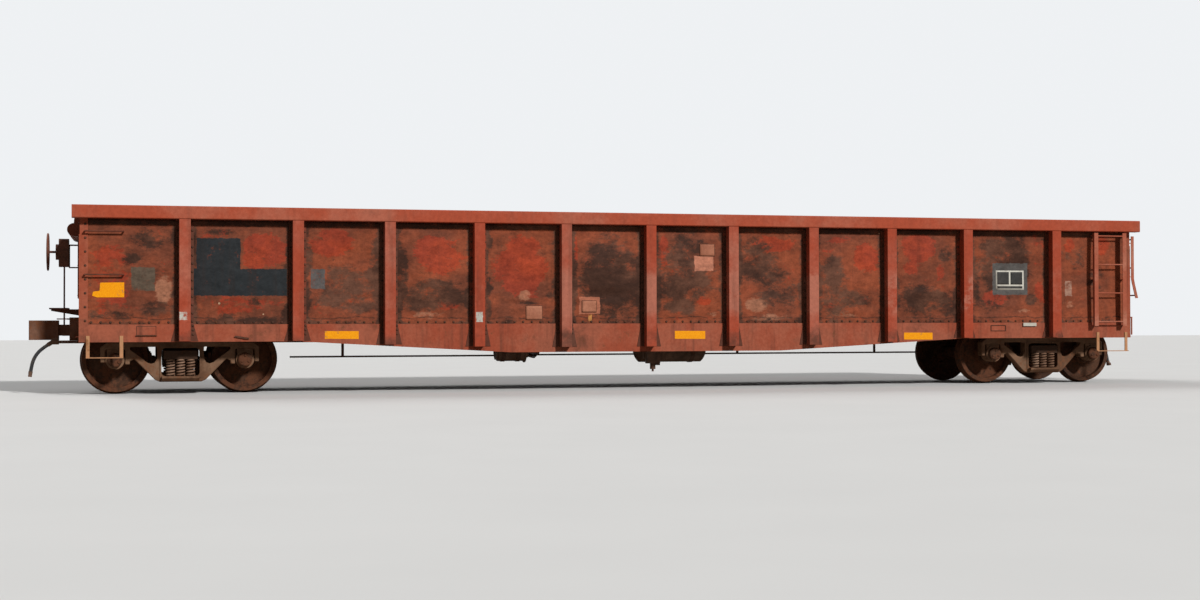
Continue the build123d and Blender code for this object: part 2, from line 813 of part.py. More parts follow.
# Brake rod: from the housing down through the step to a foot on the end sill
rod_foot_z = sill_end_z + 78
rod_foot_half = 25
rod_foot_height = 24
with BuildPart() as brake_rod:
    with BuildSketch(Plane.XY.offset(rod_foot_z)):
        with Locations((brake_rod_x, brake_y)):
            Circle(brake_rod_radius)
    extrude(amount=brake_housing_bottom_z - rod_foot_z)
    slab(
        (brake_rod_x - rod_foot_half, -side_half_length),
        (brake_y - rod_foot_half, brake_y + rod_foot_half),
        (rod_foot_z, rod_foot_z + rod_foot_height),
    )
brake_rod.part.label = "brake_rod"
export_step(brake_rod.part, "parts/brake_rod.step")

# Brake step: a tread plate on two brackets off the end sheet, with a hole for the brake rod
step_plate = 20
rod_hole_radius = 20
step_bracket_thickness = 10
step_under_z = brake_step_z - step_plate
step_bracket_y = 0.7 * brake_step_half_width
step_bracket_nose = 25
step_bracket_foot_z = floor_z + 10
with BuildPart() as brake_step:
    slab(
        (brake_step_front_x, brake_step_back_x),
        (brake_y - brake_step_half_width, brake_y + brake_step_half_width),
        (step_under_z, brake_step_z),
    )
    with Locations((brake_rod_x, brake_y, brake_step_z)):
        Cylinder(rod_hole_radius, 4 * step_plate, mode=Mode.SUBTRACT)
    for y in (brake_y - step_bracket_y, brake_y + step_bracket_y):
        with BuildSketch(Plane.XZ.offset(-y)):
            with BuildLine():
                Polyline(
                    (-end_sheet_outer_x, step_under_z),
                    (brake_step_front_x + step_bracket_nose, step_under_z),
                    (brake_step_front_x + step_bracket_nose, step_under_z - step_bracket_nose),
                    (-side_half_length, step_bracket_foot_z),
                    (-end_sheet_outer_x, step_bracket_foot_z),
                    close=True,
                )
            make_face()
        extrude(amount=step_bracket_thickness / 2, both=True)
brake_step.part.label = "brake_step"
export_step(brake_step.part, "parts/brake_step.step")

# Air reservoir: a tank with domed ends, on its side under the near stringer
reservoir_plane = Plane(origin=(0, reservoir_y, reservoir_z), x_dir=(1, 0, 0), z_dir=(0, -1, 0))
with BuildPart() as air_reservoir:
    with BuildSketch(reservoir_plane):
        with BuildLine():
            shoulders = (reservoir_start_x + reservoir_dome, reservoir_end_x - reservoir_dome)
            TangentArc((reservoir_start_x, 0), (shoulders[0], reservoir_radius), tangent=(0, 1))
            Line((shoulders[0], reservoir_radius), (shoulders[1], reservoir_radius))
            TangentArc((reservoir_end_x, 0), (shoulders[1], reservoir_radius), tangent=(0, 1))
            Line((reservoir_end_x, 0), (reservoir_start_x, 0))
        make_face()
    revolve(axis=Axis((0, reservoir_y, reservoir_z), (1, 0, 0)))
air_reservoir.part.label = "air_reservoir"
export_step(air_reservoir.part, "parts/air_reservoir.step")

# Brake cylinder: a stepped barrel with its push rod
cylinder_flange = 18
cylinder_back = 30
cylinder_neck = 60
push_rod_radius = 24
lever_x = cylinder_end_x + 170
lever_half_thickness = 11
neck_x = cylinder_end_x - cylinder_neck
# Each row is a step of the barrel: where it starts, where it ends, radius
barrel = [
    (cylinder_start_x, cylinder_start_x + cylinder_back, cylinder_radius - 20),
    (cylinder_start_x + cylinder_back, neck_x, cylinder_radius),
    (neck_x, neck_x + cylinder_flange, cylinder_radius + 22),
    (neck_x + cylinder_flange, cylinder_end_x, cylinder_radius - 50),
    (cylinder_end_x, lever_x - lever_half_thickness, push_rod_radius),
]
with BuildPart() as brake_cylinder:
    for start, finish, radius in barrel:
        with BuildSketch(Plane.YZ.offset(start)):
            with Locations((reservoir_y, cylinder_z)):
                Circle(radius)
        extrude(amount=finish - start)
brake_cylinder.part.label = "brake_cylinder"
export_step(brake_cylinder.part, "parts/brake_cylinder.step")

# Brake hangers: bands round the reservoir and the cylinder, hung from the near stringer
stringer_under_z = floor_under_z - stringer_depth
band = 8
# Each row is a band: middle along X, height of its axis, radius of what it holds
bands = [
    (reservoir_start_x + 260, reservoir_z, reservoir_radius),
    (reservoir_end_x - 260, reservoir_z, reservoir_radius),
    (cylinder_start_x + 110, cylinder_z, cylinder_radius),
    (cylinder_end_x - 160, cylinder_z, cylinder_radius),
]
with BuildPart() as brake_hangers:
    for x, axis_height, radius in bands:
        with BuildSketch(Plane.YZ.offset(x - hanger_width / 2)):
            with Locations((reservoir_y, axis_height)):
                Circle(radius + seat_clearance + band)
            with Locations((reservoir_y, (axis_height + radius + stringer_under_z) / 2)):
                Rectangle(hanger_plate, stringer_under_z - axis_height - radius)
            with Locations((reservoir_y, axis_height)):
                Circle(radius + seat_clearance, mode=Mode.SUBTRACT)
        extrude(amount=hanger_width)
brake_hangers.part.label = "brake_hangers"
export_step(brake_hangers.part, "parts/brake_hangers.step")

# Control valve: two valve bodies on the sides of a plate hung from the outer stringer
valve_plate = 12
valve_plate_half = 180
# Each row is a valve body: span along X from the plate's middle, depth off the plate, span of heights
valve_bodies = [((-160, 40), -130, (350, 570)), ((-60, 150), 110, (380, 590))]
# Each row is a round cap under a body: place along X and off the plate, foot, height, radius
valve_caps = [(-60, -65, 265, 160, 42), (50, 55, 320, 160, 42), (-60, -65, 228, 60, 16)]
with BuildPart() as control_valve:
    slab(
        (valve_bracket_x - valve_plate_half, valve_bracket_x + valve_plate_half),
        (valve_y - valve_plate / 2, valve_y + valve_plate / 2),
        (rail_z + 430, stringer_under_z),
    )
    for along, depth, heights in valve_bodies:
        slab(
            (valve_bracket_x + along[0], valve_bracket_x + along[1]),
            (valve_y + min(depth, 0), valve_y + max(depth, 0)),
            (rail_z + heights[0], rail_z + heights[1]),
        )
    for along, depth, foot, height, radius in valve_caps:
        with BuildSketch(Plane.XY.offset(rail_z + foot)):
            with Locations((valve_bracket_x + along, valve_y + depth)):
                Circle(radius)
        extrude(amount=height)
control_valve.part.label = "control_valve"
export_step(control_valve.part, "parts/control_valve.step")

# Brake levers: a cross lever at the push rod, and long pull rods hung under the centre sill
rod_z = rail_z + 470
rod_y = 210
rod_reach = 4 * post_pitch
rod_radius = 13
rod_hangers = [2 * post_pitch - 590, 4 * post_pitch - 780]
rod_hanger_half_width = 20
rod_hanger_half_thickness = 5
lever_lap = 40
# Each row is a corner of the cross lever: across the wagon, height
lever_outline = [
    (reservoir_y - lever_lap, cylinder_z - 35),
    (-rod_y, rod_z - 45),
    (rod_y + lever_lap, rod_z - 30),
    (rod_y + lever_lap, rod_z + 30),
    (-rod_y, rod_z + 45),
    (reservoir_y - lever_lap, cylinder_z + 35),
]
with BuildPart() as brake_levers:
    with BuildSketch(Plane.YZ.offset(lever_x - lever_half_thickness)):
        Polygon(*lever_outline, align=None)
    extrude(amount=2 * lever_half_thickness)
    for side in (-1, 1):
        with BuildSketch(Plane.YZ.offset(lever_x)):
            with Locations((side * rod_y, rod_z)):
                Circle(rod_radius)
        extrude(amount=side * rod_reach - lever_x)
        for reach in rod_hangers:
            slab(
                (side * reach - rod_hanger_half_width, side * reach + rod_hanger_half_width),
                (side * rod_y - rod_hanger_half_thickness, side * rod_y + rod_hanger_half_thickness),
                (rod_z, centre_sill_z),
            )
brake_levers.part.label = "brake_levers"
export_step(brake_levers.part, "parts/brake_levers.step")

# Angle cock, as at the -X end: a body, its handle, a nozzle and a bracket up to the end sill's foot
cock_length = 110
cock_x = -train_pipe_end_x - cock_length
nozzle_radius = 30
nozzle_drop = 34
nozzle_tip = 75
nozzle_setback = 20
cock_handle_half_width = 12
cock_handle_height = 60
pipe_bracket_half_width = 15
nozzle_plane = Plane(
    origin=(cock_x + nozzle_setback, -train_pipe_y, train_pipe_z),
    z_dir=(-cos(radians(nozzle_drop)), 0, -sin(radians(nozzle_drop))),
)
with BuildPart() as angle_cock:
    with BuildSketch(Plane.YZ.offset(cock_x)):
        with Locations((-train_pipe_y, train_pipe_z)):
            Circle(angle_cock_radius)
    extrude(amount=cock_length)
    with BuildSketch(nozzle_plane):
        Circle(nozzle_radius)
    extrude(amount=nozzle_tip)
    slab(
        (cock_x + nozzle_setback, cock_x + nozzle_setback + 80),
        (-train_pipe_y - cock_handle_half_width, -train_pipe_y + cock_handle_half_width),
        (train_pipe_z, train_pipe_z + cock_handle_height),
    )
    slab(
        (-side_half_length - end_sill_foot, -side_half_length - 10),
        (-train_pipe_y - pipe_bracket_half_width, -train_pipe_y + pipe_bracket_half_width),
        (train_pipe_z, end_sill_z),
    )

# Train pipe: along the near side of the -X half and the far side of the +X half
pipe_cross_x = 900
pipe_run = [
    (-train_pipe_end_x, -train_pipe_y, train_pipe_z),
    (-pipe_cross_x, -train_pipe_y, train_pipe_z),
    (pipe_cross_x, train_pipe_y, train_pipe_z),
    (train_pipe_end_x, train_pipe_y, train_pipe_z),
]
with BuildPart() as train_pipe:
    with BuildLine():
        FilletPolyline(*pipe_run, radius=train_pipe_bend)
    with BuildSketch(Plane(origin=pipe_run[0], z_dir=(1, 0, 0))):
        Circle(train_pipe_radius)
    sweep()
    add(angle_cock.part)
    add(angle_cock.part.rotate(Axis.Z, 180))
train_pipe.part.label = "train_pipe"
export_step(train_pipe.part, "parts/train_pipe.step")

# Uncoupling levers: round bars in two brackets off the end sill, bent in to a handle at the side
uncoupling_z = coupler_z + head_half_height + 21
uncoupling_x = striker_x + 35
uncoupling_reach = sheet_inner_y - 28
uncoupling_set_in = 141
uncoupling_bend_radius = 60
lever_x_at_handle = uncoupling_x - uncoupling_set_in
uncoupling_handle = 280
uncoupling_arm = 150
uncoupling_bracket = 5
arm_half_thickness = 8
with BuildPart() as uncoupling_levers:
    with BuildLine():
        FilletPolyline(
            (uncoupling_x, 0, uncoupling_z),
            (uncoupling_x, -striker_half_width - 40, uncoupling_z),
            (lever_x_at_handle, -striker_half_width - 160, uncoupling_z),
            (lever_x_at_handle, -uncoupling_reach, uncoupling_z),
            radius=uncoupling_bend_radius,
        )
    with BuildSketch(Plane(origin=(uncoupling_x, 0, uncoupling_z), z_dir=(0, -1, 0))):
        Circle(bar_radius)
    sweep()
    slab(
        (uncoupling_x - bar_radius, uncoupling_x + uncoupling_arm),
        (-bar_radius, bar_radius),
        (uncoupling_z - arm_half_thickness, uncoupling_z + arm_half_thickness),
    )
    slab(
        (lever_x_at_handle - arm_half_thickness, lever_x_at_handle + arm_half_thickness),
        (-uncoupling_reach, -uncoupling_reach + 2 * bar_radius),
        (uncoupling_z - uncoupling_handle, uncoupling_z + bar_radius),
    )
    for y in (-striker_half_width - 220, -uncoupling_reach + 170):
        slab(
            (side_half_length, lever_x_at_handle + bar_radius + uncoupling_bracket),
            (y - uncoupling_bracket, y + uncoupling_bracket),
            (uncoupling_z - 2 * bar_radius, uncoupling_z + bar_radius + uncoupling_bracket),
        )
    add(uncoupling_levers.part.rotate(Axis.Z, 180))
uncoupling_levers.part.label = "uncoupling_levers"
export_step(uncoupling_levers.part, "parts/uncoupling_levers.step")

# Air hose, as at the -X end: it leaves its angle cock outwards and curves down to its glad hand
hose_run = 115
hose_start = nozzle_plane.origin + nozzle_plane.z_dir * nozzle_tip
# Each row is a run of the route: angle below level, sideways drift
hose_route = [(nozzle_drop, 0), (51, 4), (67, 7), (81, 5)]
route = [hose_start]
for drop, drift in hose_route:
    step = Vector(-hose_run * cos(radians(drop)), drift, -hose_run * sin(radians(drop)))
    route.append(route[-1] + step)
turns = []
for before, corner, after in zip(route, route[1:], route[2:]):
    turns.append((corner - before).get_angle(after - corner))
bends = [0.45 * hose_run / tan(radians(turn / 2)) for turn in turns]
print("hose bend radii", [round(bend) for bend in bends])
print("hose route", [(round(p.X, 1), round(p.Y, 1), round(p.Z, 1)) for p in route])
with BuildPart() as hose_tube:
    with BuildLine():
        FilletPolyline(*route, radius=bends)
    with BuildSketch(nozzle_plane.offset(nozzle_tip)):
        Circle(hose_radius)
    sweep()

# Glad hand, as at the -X end: a ferrule on the hose and the flat coupling head
ferrule_radius = hose_radius + 4
ferrule_length = 34
hand_length = 92
hand_width = 50
hand_corner = 18
hand_height = 44
hand_offset = 14
glad_hand_plane = Plane(origin=route[-1], x_dir=(0, 1, 0), z_dir=route[-1] - route[-2])
with BuildPart() as hand:
    with BuildSketch(glad_hand_plane):
        Circle(ferrule_radius)
    extrude(amount=ferrule_length)
    with BuildSketch(glad_hand_plane.offset(ferrule_length)):
        with Locations((hand_offset, 0)):
            RectangleRounded(hand_length, hand_width, hand_corner)
    extrude(amount=hand_height)

# Coupler, as at the +X end: a shank on an upright pin, a head with a guard arm, lugs and the knuckle's pin
# Each row of these plans is a corner: ahead of the pulling face, across the wagon
head_plan = [
    (-330, -150),
    (-215, -150),
    (-215, -40),
    (-195, 95),
    (-60, 112),
    (30, 150),
    (72, 172),
    (72, 212),
    (-40, 212),
    (-330, 150),
]
head_corner = 14
knuckle_plan = [
    (-165, -158),
    (-60, -168),
    (38, -122),
    (76, -44),
    (80, 30),
    (60, 62),
    (8, 66),
    (-4, 0),
    (-42, -50),
    (-100, -45),
    (-150, -36),
]
lug_radius = 68
lug_gap = 3
lug_root = (40, 40)
nose_clear_radius = 76
shank_lap = 10
head_z = coupler_z - head_half_height
shank_middle_x = (coupler_pivot_x + head_back_x + shank_lap) / 2
with BuildPart() as head:
    with BuildSketch(Plane.XY.offset(coupler_z - shank_half_height)):
        with Locations((shank_middle_x, 0)):
            Rectangle(head_back_x - coupler_pivot_x + shank_lap, 2 * shank_half_width)
        with Locations((coupler_pivot_x, 0)):
            Circle(shank_half_width)
            Circle(coupler_pin_radius + pin_clearance, mode=Mode.SUBTRACT)
    extrude(amount=2 * shank_half_height)
    with BuildSketch(Plane.XY.offset(head_z)) as head_outline:
        with Locations((pulling_face_x, 0)):
            Polygon(*head_plan, align=None)
        fillet(head_outline.vertices(), radius=head_corner)
        with Locations((knuckle_pin_x, knuckle_pin_y)):
            Circle(lug_radius)
        with Locations((knuckle_pin_x - lug_root[0], knuckle_pin_y)):
            Rectangle(2 * lug_root[0], 2 * lug_radius - 26)
    extrude(amount=2 * head_half_height)
    with BuildSketch(Plane.XY.offset(coupler_z - knuckle_half_height - lug_gap)):
        with Locations((knuckle_pin_x, knuckle_pin_y)):
            Rectangle(2 * lug_radius, 2 * lug_radius + lug_root[1])
    extrude(amount=2 * (knuckle_half_height + lug_gap), mode=Mode.SUBTRACT)
    with BuildSketch(Plane.XY.offset(head_z)):
        with Locations((knuckle_pin_x, knuckle_pin_y)):
            Circle(knuckle_pin_radius)
    extrude(amount=2 * head_half_height)

# Knuckle, as at the +X end: a barrel on the pin and a nose that fills the head's full height
knuckle_corner = 10
with BuildPart() as nose:
    with BuildSketch(Plane.XY.offset(coupler_z - knuckle_half_height)) as knuckle_outline:
        with Locations((pulling_face_x, 0)):
            Polygon(*knuckle_plan, align=None)
        fillet(knuckle_outline.vertices(), radius=knuckle_corner)
        with Locations((knuckle_pin_x, knuckle_pin_y)):
            Circle(knuckle_barrel_radius)
            Circle(knuckle_pin_radius + pin_clearance, mode=Mode.SUBTRACT)
    extrude(amount=2 * knuckle_half_height)
    with BuildSketch(Plane.XY.offset(head_z)) as nose_outline:
        with Locations((pulling_face_x, 0)):
            Polygon(*knuckle_plan, align=None)
        fillet(nose_outline.vertices(), radius=knuckle_corner)
        with Locations((knuckle_pin_x, knuckle_pin_y)):
            Circle(nose_clear_radius, mode=Mode.SUBTRACT)
    extrude(amount=2 * head_half_height)

# The hose, glad hand, coupler and knuckle of each end, by half turns about Z
# Each row is an end: its letter, the turn of the pieces drawn at -X, the turn of those drawn at +X
for end, turn, coupler_turn in (("b", 0, 180), ("a", 180, 0)):
    with BuildPart() as air_hose:
        add(hose_tube.part.rotate(Axis.Z, turn))
    air_hose.part.label = f"air_hose_{end}"
    export_step(air_hose.part, f"parts/air_hose_{end}.step")
    with BuildPart() as glad_hand:
        add(hand.part.rotate(Axis.Z, turn))
    glad_hand.part.label = f"glad_hand_{end}"
    export_step(glad_hand.part, f"parts/glad_hand_{end}.step")
    with BuildPart() as coupler:
        add(head.part.rotate(Axis.Z, coupler_turn))
    coupler.part.label = f"coupler_{end}"
    export_step(coupler.part, f"parts/coupler_{end}.step")
    with BuildPart() as knuckle:
        add(nose.part.rotate(Axis.Z, coupler_turn))
    knuckle.part.label = f"knuckle_{end}"
    export_step(knuckle.part, f"parts/knuckle_{end}.step")

# Side frame of a truck, drawn about the truck's centre: a cast truss with rounded corners and bevelled edges
# Each row is a corner of half its outline: distance from the truck's centre, height above the rail head
jaw_z = axle_z - rail_z + adapter_top
frame_outline = [
    (285, 148),
    (350, 178),
    (632, 470),
    (690, 440),
    (690, 395),
    (axle_offset - pedestal_half_width, 395),
    (axle_offset - pedestal_half_width, jaw_z),
    (axle_offset + pedestal_half_width, jaw_z),
    (axle_offset + pedestal_half_width, 425),
    (1085, 425),
    (1085, 640),
    (1010, 700),
    (640, 715),
    (300, 735),
]
side_window = [(320, 640), (320, 478), (352, 418), (402, 402), (455, 420), (560, 505), (690, 600), (690, 640)]
frame_corner = 16
frame_bevel = 10
window_corner = 55
window_lip = 22
window_lip_height = 12
basket_half_length = 255
basket_half_width = 150
basket_z = rail_z + 160
frame_gusset = 40
window_middle_z = (spring_seat_z + window_top_z) / 2
window_height = window_top_z - spring_seat_z
right_half = [(x, rail_z + z) for x, z in frame_outline]
left_half = [(-x, z) for x, z in reversed(right_half)]
with BuildPart() as one_frame:
    with BuildSketch(Plane.XZ.offset(frame_inner_y)) as frame_face:
        Polygon(*right_half, *left_half, align=None)
        for way in (-1, 1):
            Polygon(*[(way * x, rail_z + z) for x, z in side_window], align=None, mode=Mode.SUBTRACT)
        fillet(frame_face.vertices(), radius=frame_corner)
        with Locations((0, window_middle_z)):
            RectangleRounded(2 * window_half_width, window_height, window_corner, mode=Mode.SUBTRACT)
    extrude(amount=2 * frame_half_thickness)
    outer_face = one_frame.faces().sort_by(Axis.Y)[0]
    chamfer(outer_face.outer_wire().edges(), length=frame_bevel)
    with BuildSketch(Plane.XZ.offset(frame_face_y)):
        with Locations((0, window_middle_z)):
            Rectangle(2 * (window_half_width + window_lip), window_height + 2 * window_lip)
            RectangleRounded(2 * window_half_width, window_height, window_corner, mode=Mode.SUBTRACT)
    extrude(amount=window_lip_height)
    with BuildSketch(Plane.YZ.offset(-basket_half_length)):
        Polygon(
            (-journal_y - basket_half_width, spring_seat_z),
            (-journal_y - basket_half_width, basket_z + frame_gusset),
            (-journal_y - basket_half_width + frame_gusset, basket_z),
            (-journal_y + basket_half_width - frame_gusset, basket_z),
            (-journal_y + basket_half_width, basket_z + frame_gusset),
            (-journal_y + basket_half_width, spring_seat_z),
            align=None,
        )
    extrude(amount=2 * basket_half_length)

# Spring, drawn about its own foot: a coil spring's turns as a stack of bulges
spring_turns = 5
spring_wire = 26
turn_height = (spring_top_z - spring_seat_z) / spring_turns
# Each row is a point of one turn's outline: share of its height, how far the wire stands in from the outside
turn_outline = [(0.1, spring_wire / 2), (0.3, 0), (0.7, 0), (0.9, spring_wire / 2)]
spring_edge = []
for turn in range(spring_turns):
    spring_edge += [(spring_radius - inset, (turn + share) * turn_height) for share, inset in turn_outline]
with BuildPart() as one_spring:
    with BuildSketch(Plane.XZ):
        Polygon(
            (0, 0),
            (spring_radius - spring_wire / 2, 0),
            *spring_edge,
            (spring_radius - spring_wire / 2, spring_turns * turn_height),
            (0, spring_turns * turn_height),
            align=None,
        )
    revolve(axis=Axis.Z)

# Trucks
beam_x = 330
beam_half = 25
beam_z = rail_z + 410
beam_post_half = 30
shoe_gap = 8
shoe_thickness = 40
shoe_height = 290
shoe_depth = 120
shoe_head = 80
shoe_y = (712, 800)
shoe_head_y = (shoe_y[0] + 20, shoe_y[1] - 20)
# Each row is a corner of half the truck bolster's side view: across the wagon, height
bolster_half = [
    (0, rail_z + 330),
    (620, rail_z + 350),
    (850, spring_top_z),
    (truck_bolster_end_y, spring_top_z),
    (truck_bolster_end_y, rail_z + 585),
    (800, rail_z + 612),
    (680, truck_bolster_top_z),
    (0, truck_bolster_top_z),
]
bolster_core_z = rail_z + 600
truck_bearing_half_length = 90
truck_bearing_half_width = 60
pocket_y = 420
pocket_z = rail_z + 490
pocket_width = 250
pocket_height = 130
pocket_corner = 50
pocket_depth = 60
# Half profile of a wheelset, from the middle of the axle outwards: distance along Y, radius
wheelset_half = [
    (0, 88),
    (600, 92),
    (640, 112),
    (640, 150),
    (692, 168),
    (690, 394),
    (rim_back_y, 394),
    (rim_back_y, wheel_radius + 14),
    (rim_back_y + 14, wheel_radius + flange_height),
    (rim_back_y + 36, wheel_radius + 3),
    (rim_back_y + rim_width, wheel_radius - 4),
    (rim_back_y + rim_width, 394),
    (742, 390),
    (748, 178),
    (826, 150),
    (826, 95),
    (journal_y - bearing_half_width - 2, 95),
    (journal_y - bearing_half_width - 2, journal_radius),
    (journal_y + bearing_half_width + 6, journal_radius),
    (journal_y + bearing_half_width + 6, end_cap_radius),
    (end_cap_y - 12, end_cap_radius),
    (end_cap_y, end_cap_radius - 16),
    (end_cap_y, 0),
]
for end, side in (("b", -1), ("a", 1)):
    centre = side * truck_centre_x
    with BuildPart() as side_frames:
        with Locations((centre, 0, 0)):
            add(one_frame.part)
        mirror(about=Plane.XZ)
    side_frames.part.label = f"side_frames_{end}"
    export_step(side_frames.part, f"parts/side_frames_{end}.step")

    with BuildPart() as truck_bolster:
        with BuildSketch(Plane.YZ.offset(centre)):
            Polygon(*bolster_half, *[(-y, z) for y, z in reversed(bolster_half) if y], align=None)
        extrude(amount=truck_bolster_half_width, both=True)
        for way in (-1, 1):
            bearing_y = way * side_bearing_y
            slab(
                (centre - truck_bearing_half_length, centre + truck_bearing_half_length),
                (bearing_y - truck_bearing_half_width, bearing_y + truck_bearing_half_width),
                (bolster_core_z, truck_side_bearing_z),
            )
            with BuildSketch(Plane.YZ.offset(centre + way * truck_bolster_half_width)):
                with Locations((-pocket_y, pocket_z), (pocket_y, pocket_z)):
                    RectangleRounded(pocket_width, pocket_height, pocket_corner)
            extrude(amount=-way * pocket_depth, mode=Mode.SUBTRACT)
        with BuildSketch(Plane.XY.offset(bolster_core_z)):
            with Locations((centre, 0)):
                Circle(centre_plate_radius + bowl_clearance + bowl_rim)
        extrude(amount=bowl_floor_z + bowl_rim_height - bolster_core_z)
        with BuildSketch(Plane.XY.offset(bowl_floor_z)):
            with Locations((centre, 0)):
                Circle(centre_plate_radius + bowl_clearance)
        extrude(amount=bowl_rim_height, mode=Mode.SUBTRACT)
    truck_bolster.part.label = f"truck_bolster_{end}"
    export_step(truck_bolster.part, f"parts/truck_bolster_{end}.step")

    with BuildPart() as springs:
        for y in (journal_y - spring_row, journal_y + spring_row):
            with Locations(*[(centre + k * spring_pitch, y, spring_seat_z) for k in (-1, 0, 1)]):
                add(one_spring.part)
        mirror(about=Plane.XZ)
    springs.part.label = f"springs_{end}"
    export_step(springs.part, f"parts/springs_{end}.step")

    with BuildPart() as brake_beams:
        for way in (-1, 1):
            near = sorted((centre + way * (beam_x - beam_half), centre + way * (beam_x + beam_half)))
            slab(near, (-frame_inner_y, frame_inner_y), (beam_z - beam_half, beam_z + beam_half))
            head_span = sorted((centre + way * beam_x, centre + way * (beam_x + shoe_head)))
            wheel_centre = (centre + way * axle_offset, axle_z)
            for y in (1, -1):
                span = sorted((y * shoe_y[0], y * shoe_y[1]))
                with BuildSketch(Plane.XZ.offset(-span[1])):
                    with Locations(wheel_centre):
                        Circle(wheel_radius + shoe_gap + shoe_thickness)
                        Circle(wheel_radius + shoe_gap, mode=Mode.SUBTRACT)
                    with Locations((centre + way * (beam_x + shoe_depth / 2 + beam_half), beam_z)):
                        Rectangle(shoe_depth, shoe_height, mode=Mode.INTERSECT)
                extrude(amount=span[1] - span[0])
                across = sorted(y * edge for edge in shoe_head_y)
                slab(head_span, across, (beam_z - shoe_head, beam_z + shoe_head))
                with BuildSketch(Plane.XZ.offset(-span[1])):
                    with Locations(wheel_centre):
                        Circle(wheel_radius + shoe_gap)
                extrude(amount=span[1] - span[0], mode=Mode.SUBTRACT)
    brake_beams.part.label = f"brake_beams_{end}"
    export_step(brake_beams.part, f"parts/brake_beams_{end}.step")

    with BuildPart() as adapters:
        for way in (-1, 1):
            axle_x = centre + way * axle_offset
            with BuildSketch(Plane.XZ.offset(-journal_y - bearing_half_width)):
                with Locations((axle_x, axle_z)):
                    Circle(bearing_radius)
            extrude(amount=2 * bearing_half_width)
            slab(
                (axle_x - adapter_half_width, axle_x + adapter_half_width),
                (frame_inner_y, frame_face_y),
                (axle_z, axle_z + adapter_top),
            )
            with BuildSketch(Plane.XZ.offset(-journal_y - bearing_half_width)):
                with Locations((axle_x, axle_z)):
                    Circle(journal_radius + bearing_clearance)
            extrude(amount=2 * bearing_half_width, mode=Mode.SUBTRACT)
        mirror(about=Plane.XZ)
    adapters.part.label = f"bearing_adapters_{end}"
    export_step(adapters.part, f"parts/bearing_adapters_{end}.step")

    for number, way in ((1, -1), (2, 1)):
        axle_x = centre + way * axle_offset
        with BuildPart() as wheelset:
            with BuildSketch(Plane(origin=(axle_x, 0, axle_z), x_dir=(0, 1, 0), z_dir=(1, 0, 0))):
                Polygon(*wheelset_half, *[(-y, r) for y, r in reversed(wheelset_half) if y], align=None)
            revolve(axis=Axis((axle_x, 0, axle_z), (0, 1, 0)))
        wheelset.part.label = f"wheelset_{end}{number}"
        export_step(wheelset.part, f"parts/wheelset_{end}{number}.step")
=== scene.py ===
import math

import bpy
import numpy as np
from mathutils import Matrix, Vector


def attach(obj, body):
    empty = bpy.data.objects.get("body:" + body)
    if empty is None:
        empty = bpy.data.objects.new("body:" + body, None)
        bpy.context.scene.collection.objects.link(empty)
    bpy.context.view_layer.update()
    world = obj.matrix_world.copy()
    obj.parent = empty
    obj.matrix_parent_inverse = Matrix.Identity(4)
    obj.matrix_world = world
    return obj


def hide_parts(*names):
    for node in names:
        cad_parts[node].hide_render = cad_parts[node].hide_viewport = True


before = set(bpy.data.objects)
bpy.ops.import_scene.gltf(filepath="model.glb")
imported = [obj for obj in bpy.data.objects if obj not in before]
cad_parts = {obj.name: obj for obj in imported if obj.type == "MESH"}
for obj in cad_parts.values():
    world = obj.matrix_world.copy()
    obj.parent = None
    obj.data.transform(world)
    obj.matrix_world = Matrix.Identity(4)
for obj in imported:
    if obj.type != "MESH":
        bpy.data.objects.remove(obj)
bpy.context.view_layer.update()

# Camera
# The photograph was taken from beside the track, near the wagon's hand-brake end and low down.
# Its place and lens were found from the wheels, the posts and the rail head, in metres.
camera_place = Vector((-7.414, -25.827, 0.975))
camera_yaw = 0.2668
camera_pitch = 0.0140
camera_roll = -0.0021
lens_mm = 51.19
forward = Vector((
    math.sin(camera_yaw) * math.cos(camera_pitch),
    math.cos(camera_yaw) * math.cos(camera_pitch),
    math.sin(camera_pitch),
))
level_right = forward.cross(Vector((0, 0, 1))).normalized()
level_up = level_right.cross(forward)
right = math.cos(camera_roll) * level_right + math.sin(camera_roll) * level_up
up = right.cross(forward)
camera_data = bpy.data.cameras.new("camera")
camera_data.sensor_width = 36
camera_data.lens = lens_mm
camera_data.clip_end = 400
camera = bpy.data.objects.new("camera", camera_data)
bpy.context.collection.objects.link(camera)
camera.matrix_world = Matrix.Translation(camera_place) @ Matrix((right, up, -forward)).transposed().to_4x4()
bpy.context.scene.camera = camera

# Light
# A broad lamp stands where the sun was, low and a little to the right of the near side.
# A weaker one lights the top and the far side, and a pale world fills the shade.
bpy.context.scene.view_settings.view_transform = "Standard"
# Each row is a lamp: name, direction from the wagon to the lamp, strength, softness in degrees
lamps = [
    ("key_lamp", Vector((0.45, -1.0, 0.66)), 3.2, 6.0),
    ("fill_lamp", Vector((-0.60, 0.8, 0.9)), 1.2, 30.0),
]
for name, towards, strength, softness in lamps:
    lamp_data = bpy.data.lights.new(name, "SUN")
    lamp_data.energy = strength
    lamp_data.angle = math.radians(softness)
    lamp = bpy.data.objects.new(name, lamp_data)
    bpy.context.collection.objects.link(lamp)
    lamp.rotation_mode = "QUATERNION"
    lamp.rotation_quaternion = towards.to_track_quat("Z", "Y")


def connect(node, wires):
    """Sets each socket of a node to its value, or wires it to another node's output."""
    for socket, value in wires.items():
        if isinstance(value, bpy.types.NodeSocket):
            node.id_data.links.new(value, node.inputs[socket])
        else:
            node.inputs[socket].default_value = value
    return node


def put(tree, kind, wires=(), **settings):
    """A new shader node with its settings, and its sockets set or wired."""
    made = tree.nodes.new(f"ShaderNode{kind}")
    for key, value in settings.items():
        setattr(made, key, value)
    return connect(made, dict(wires))


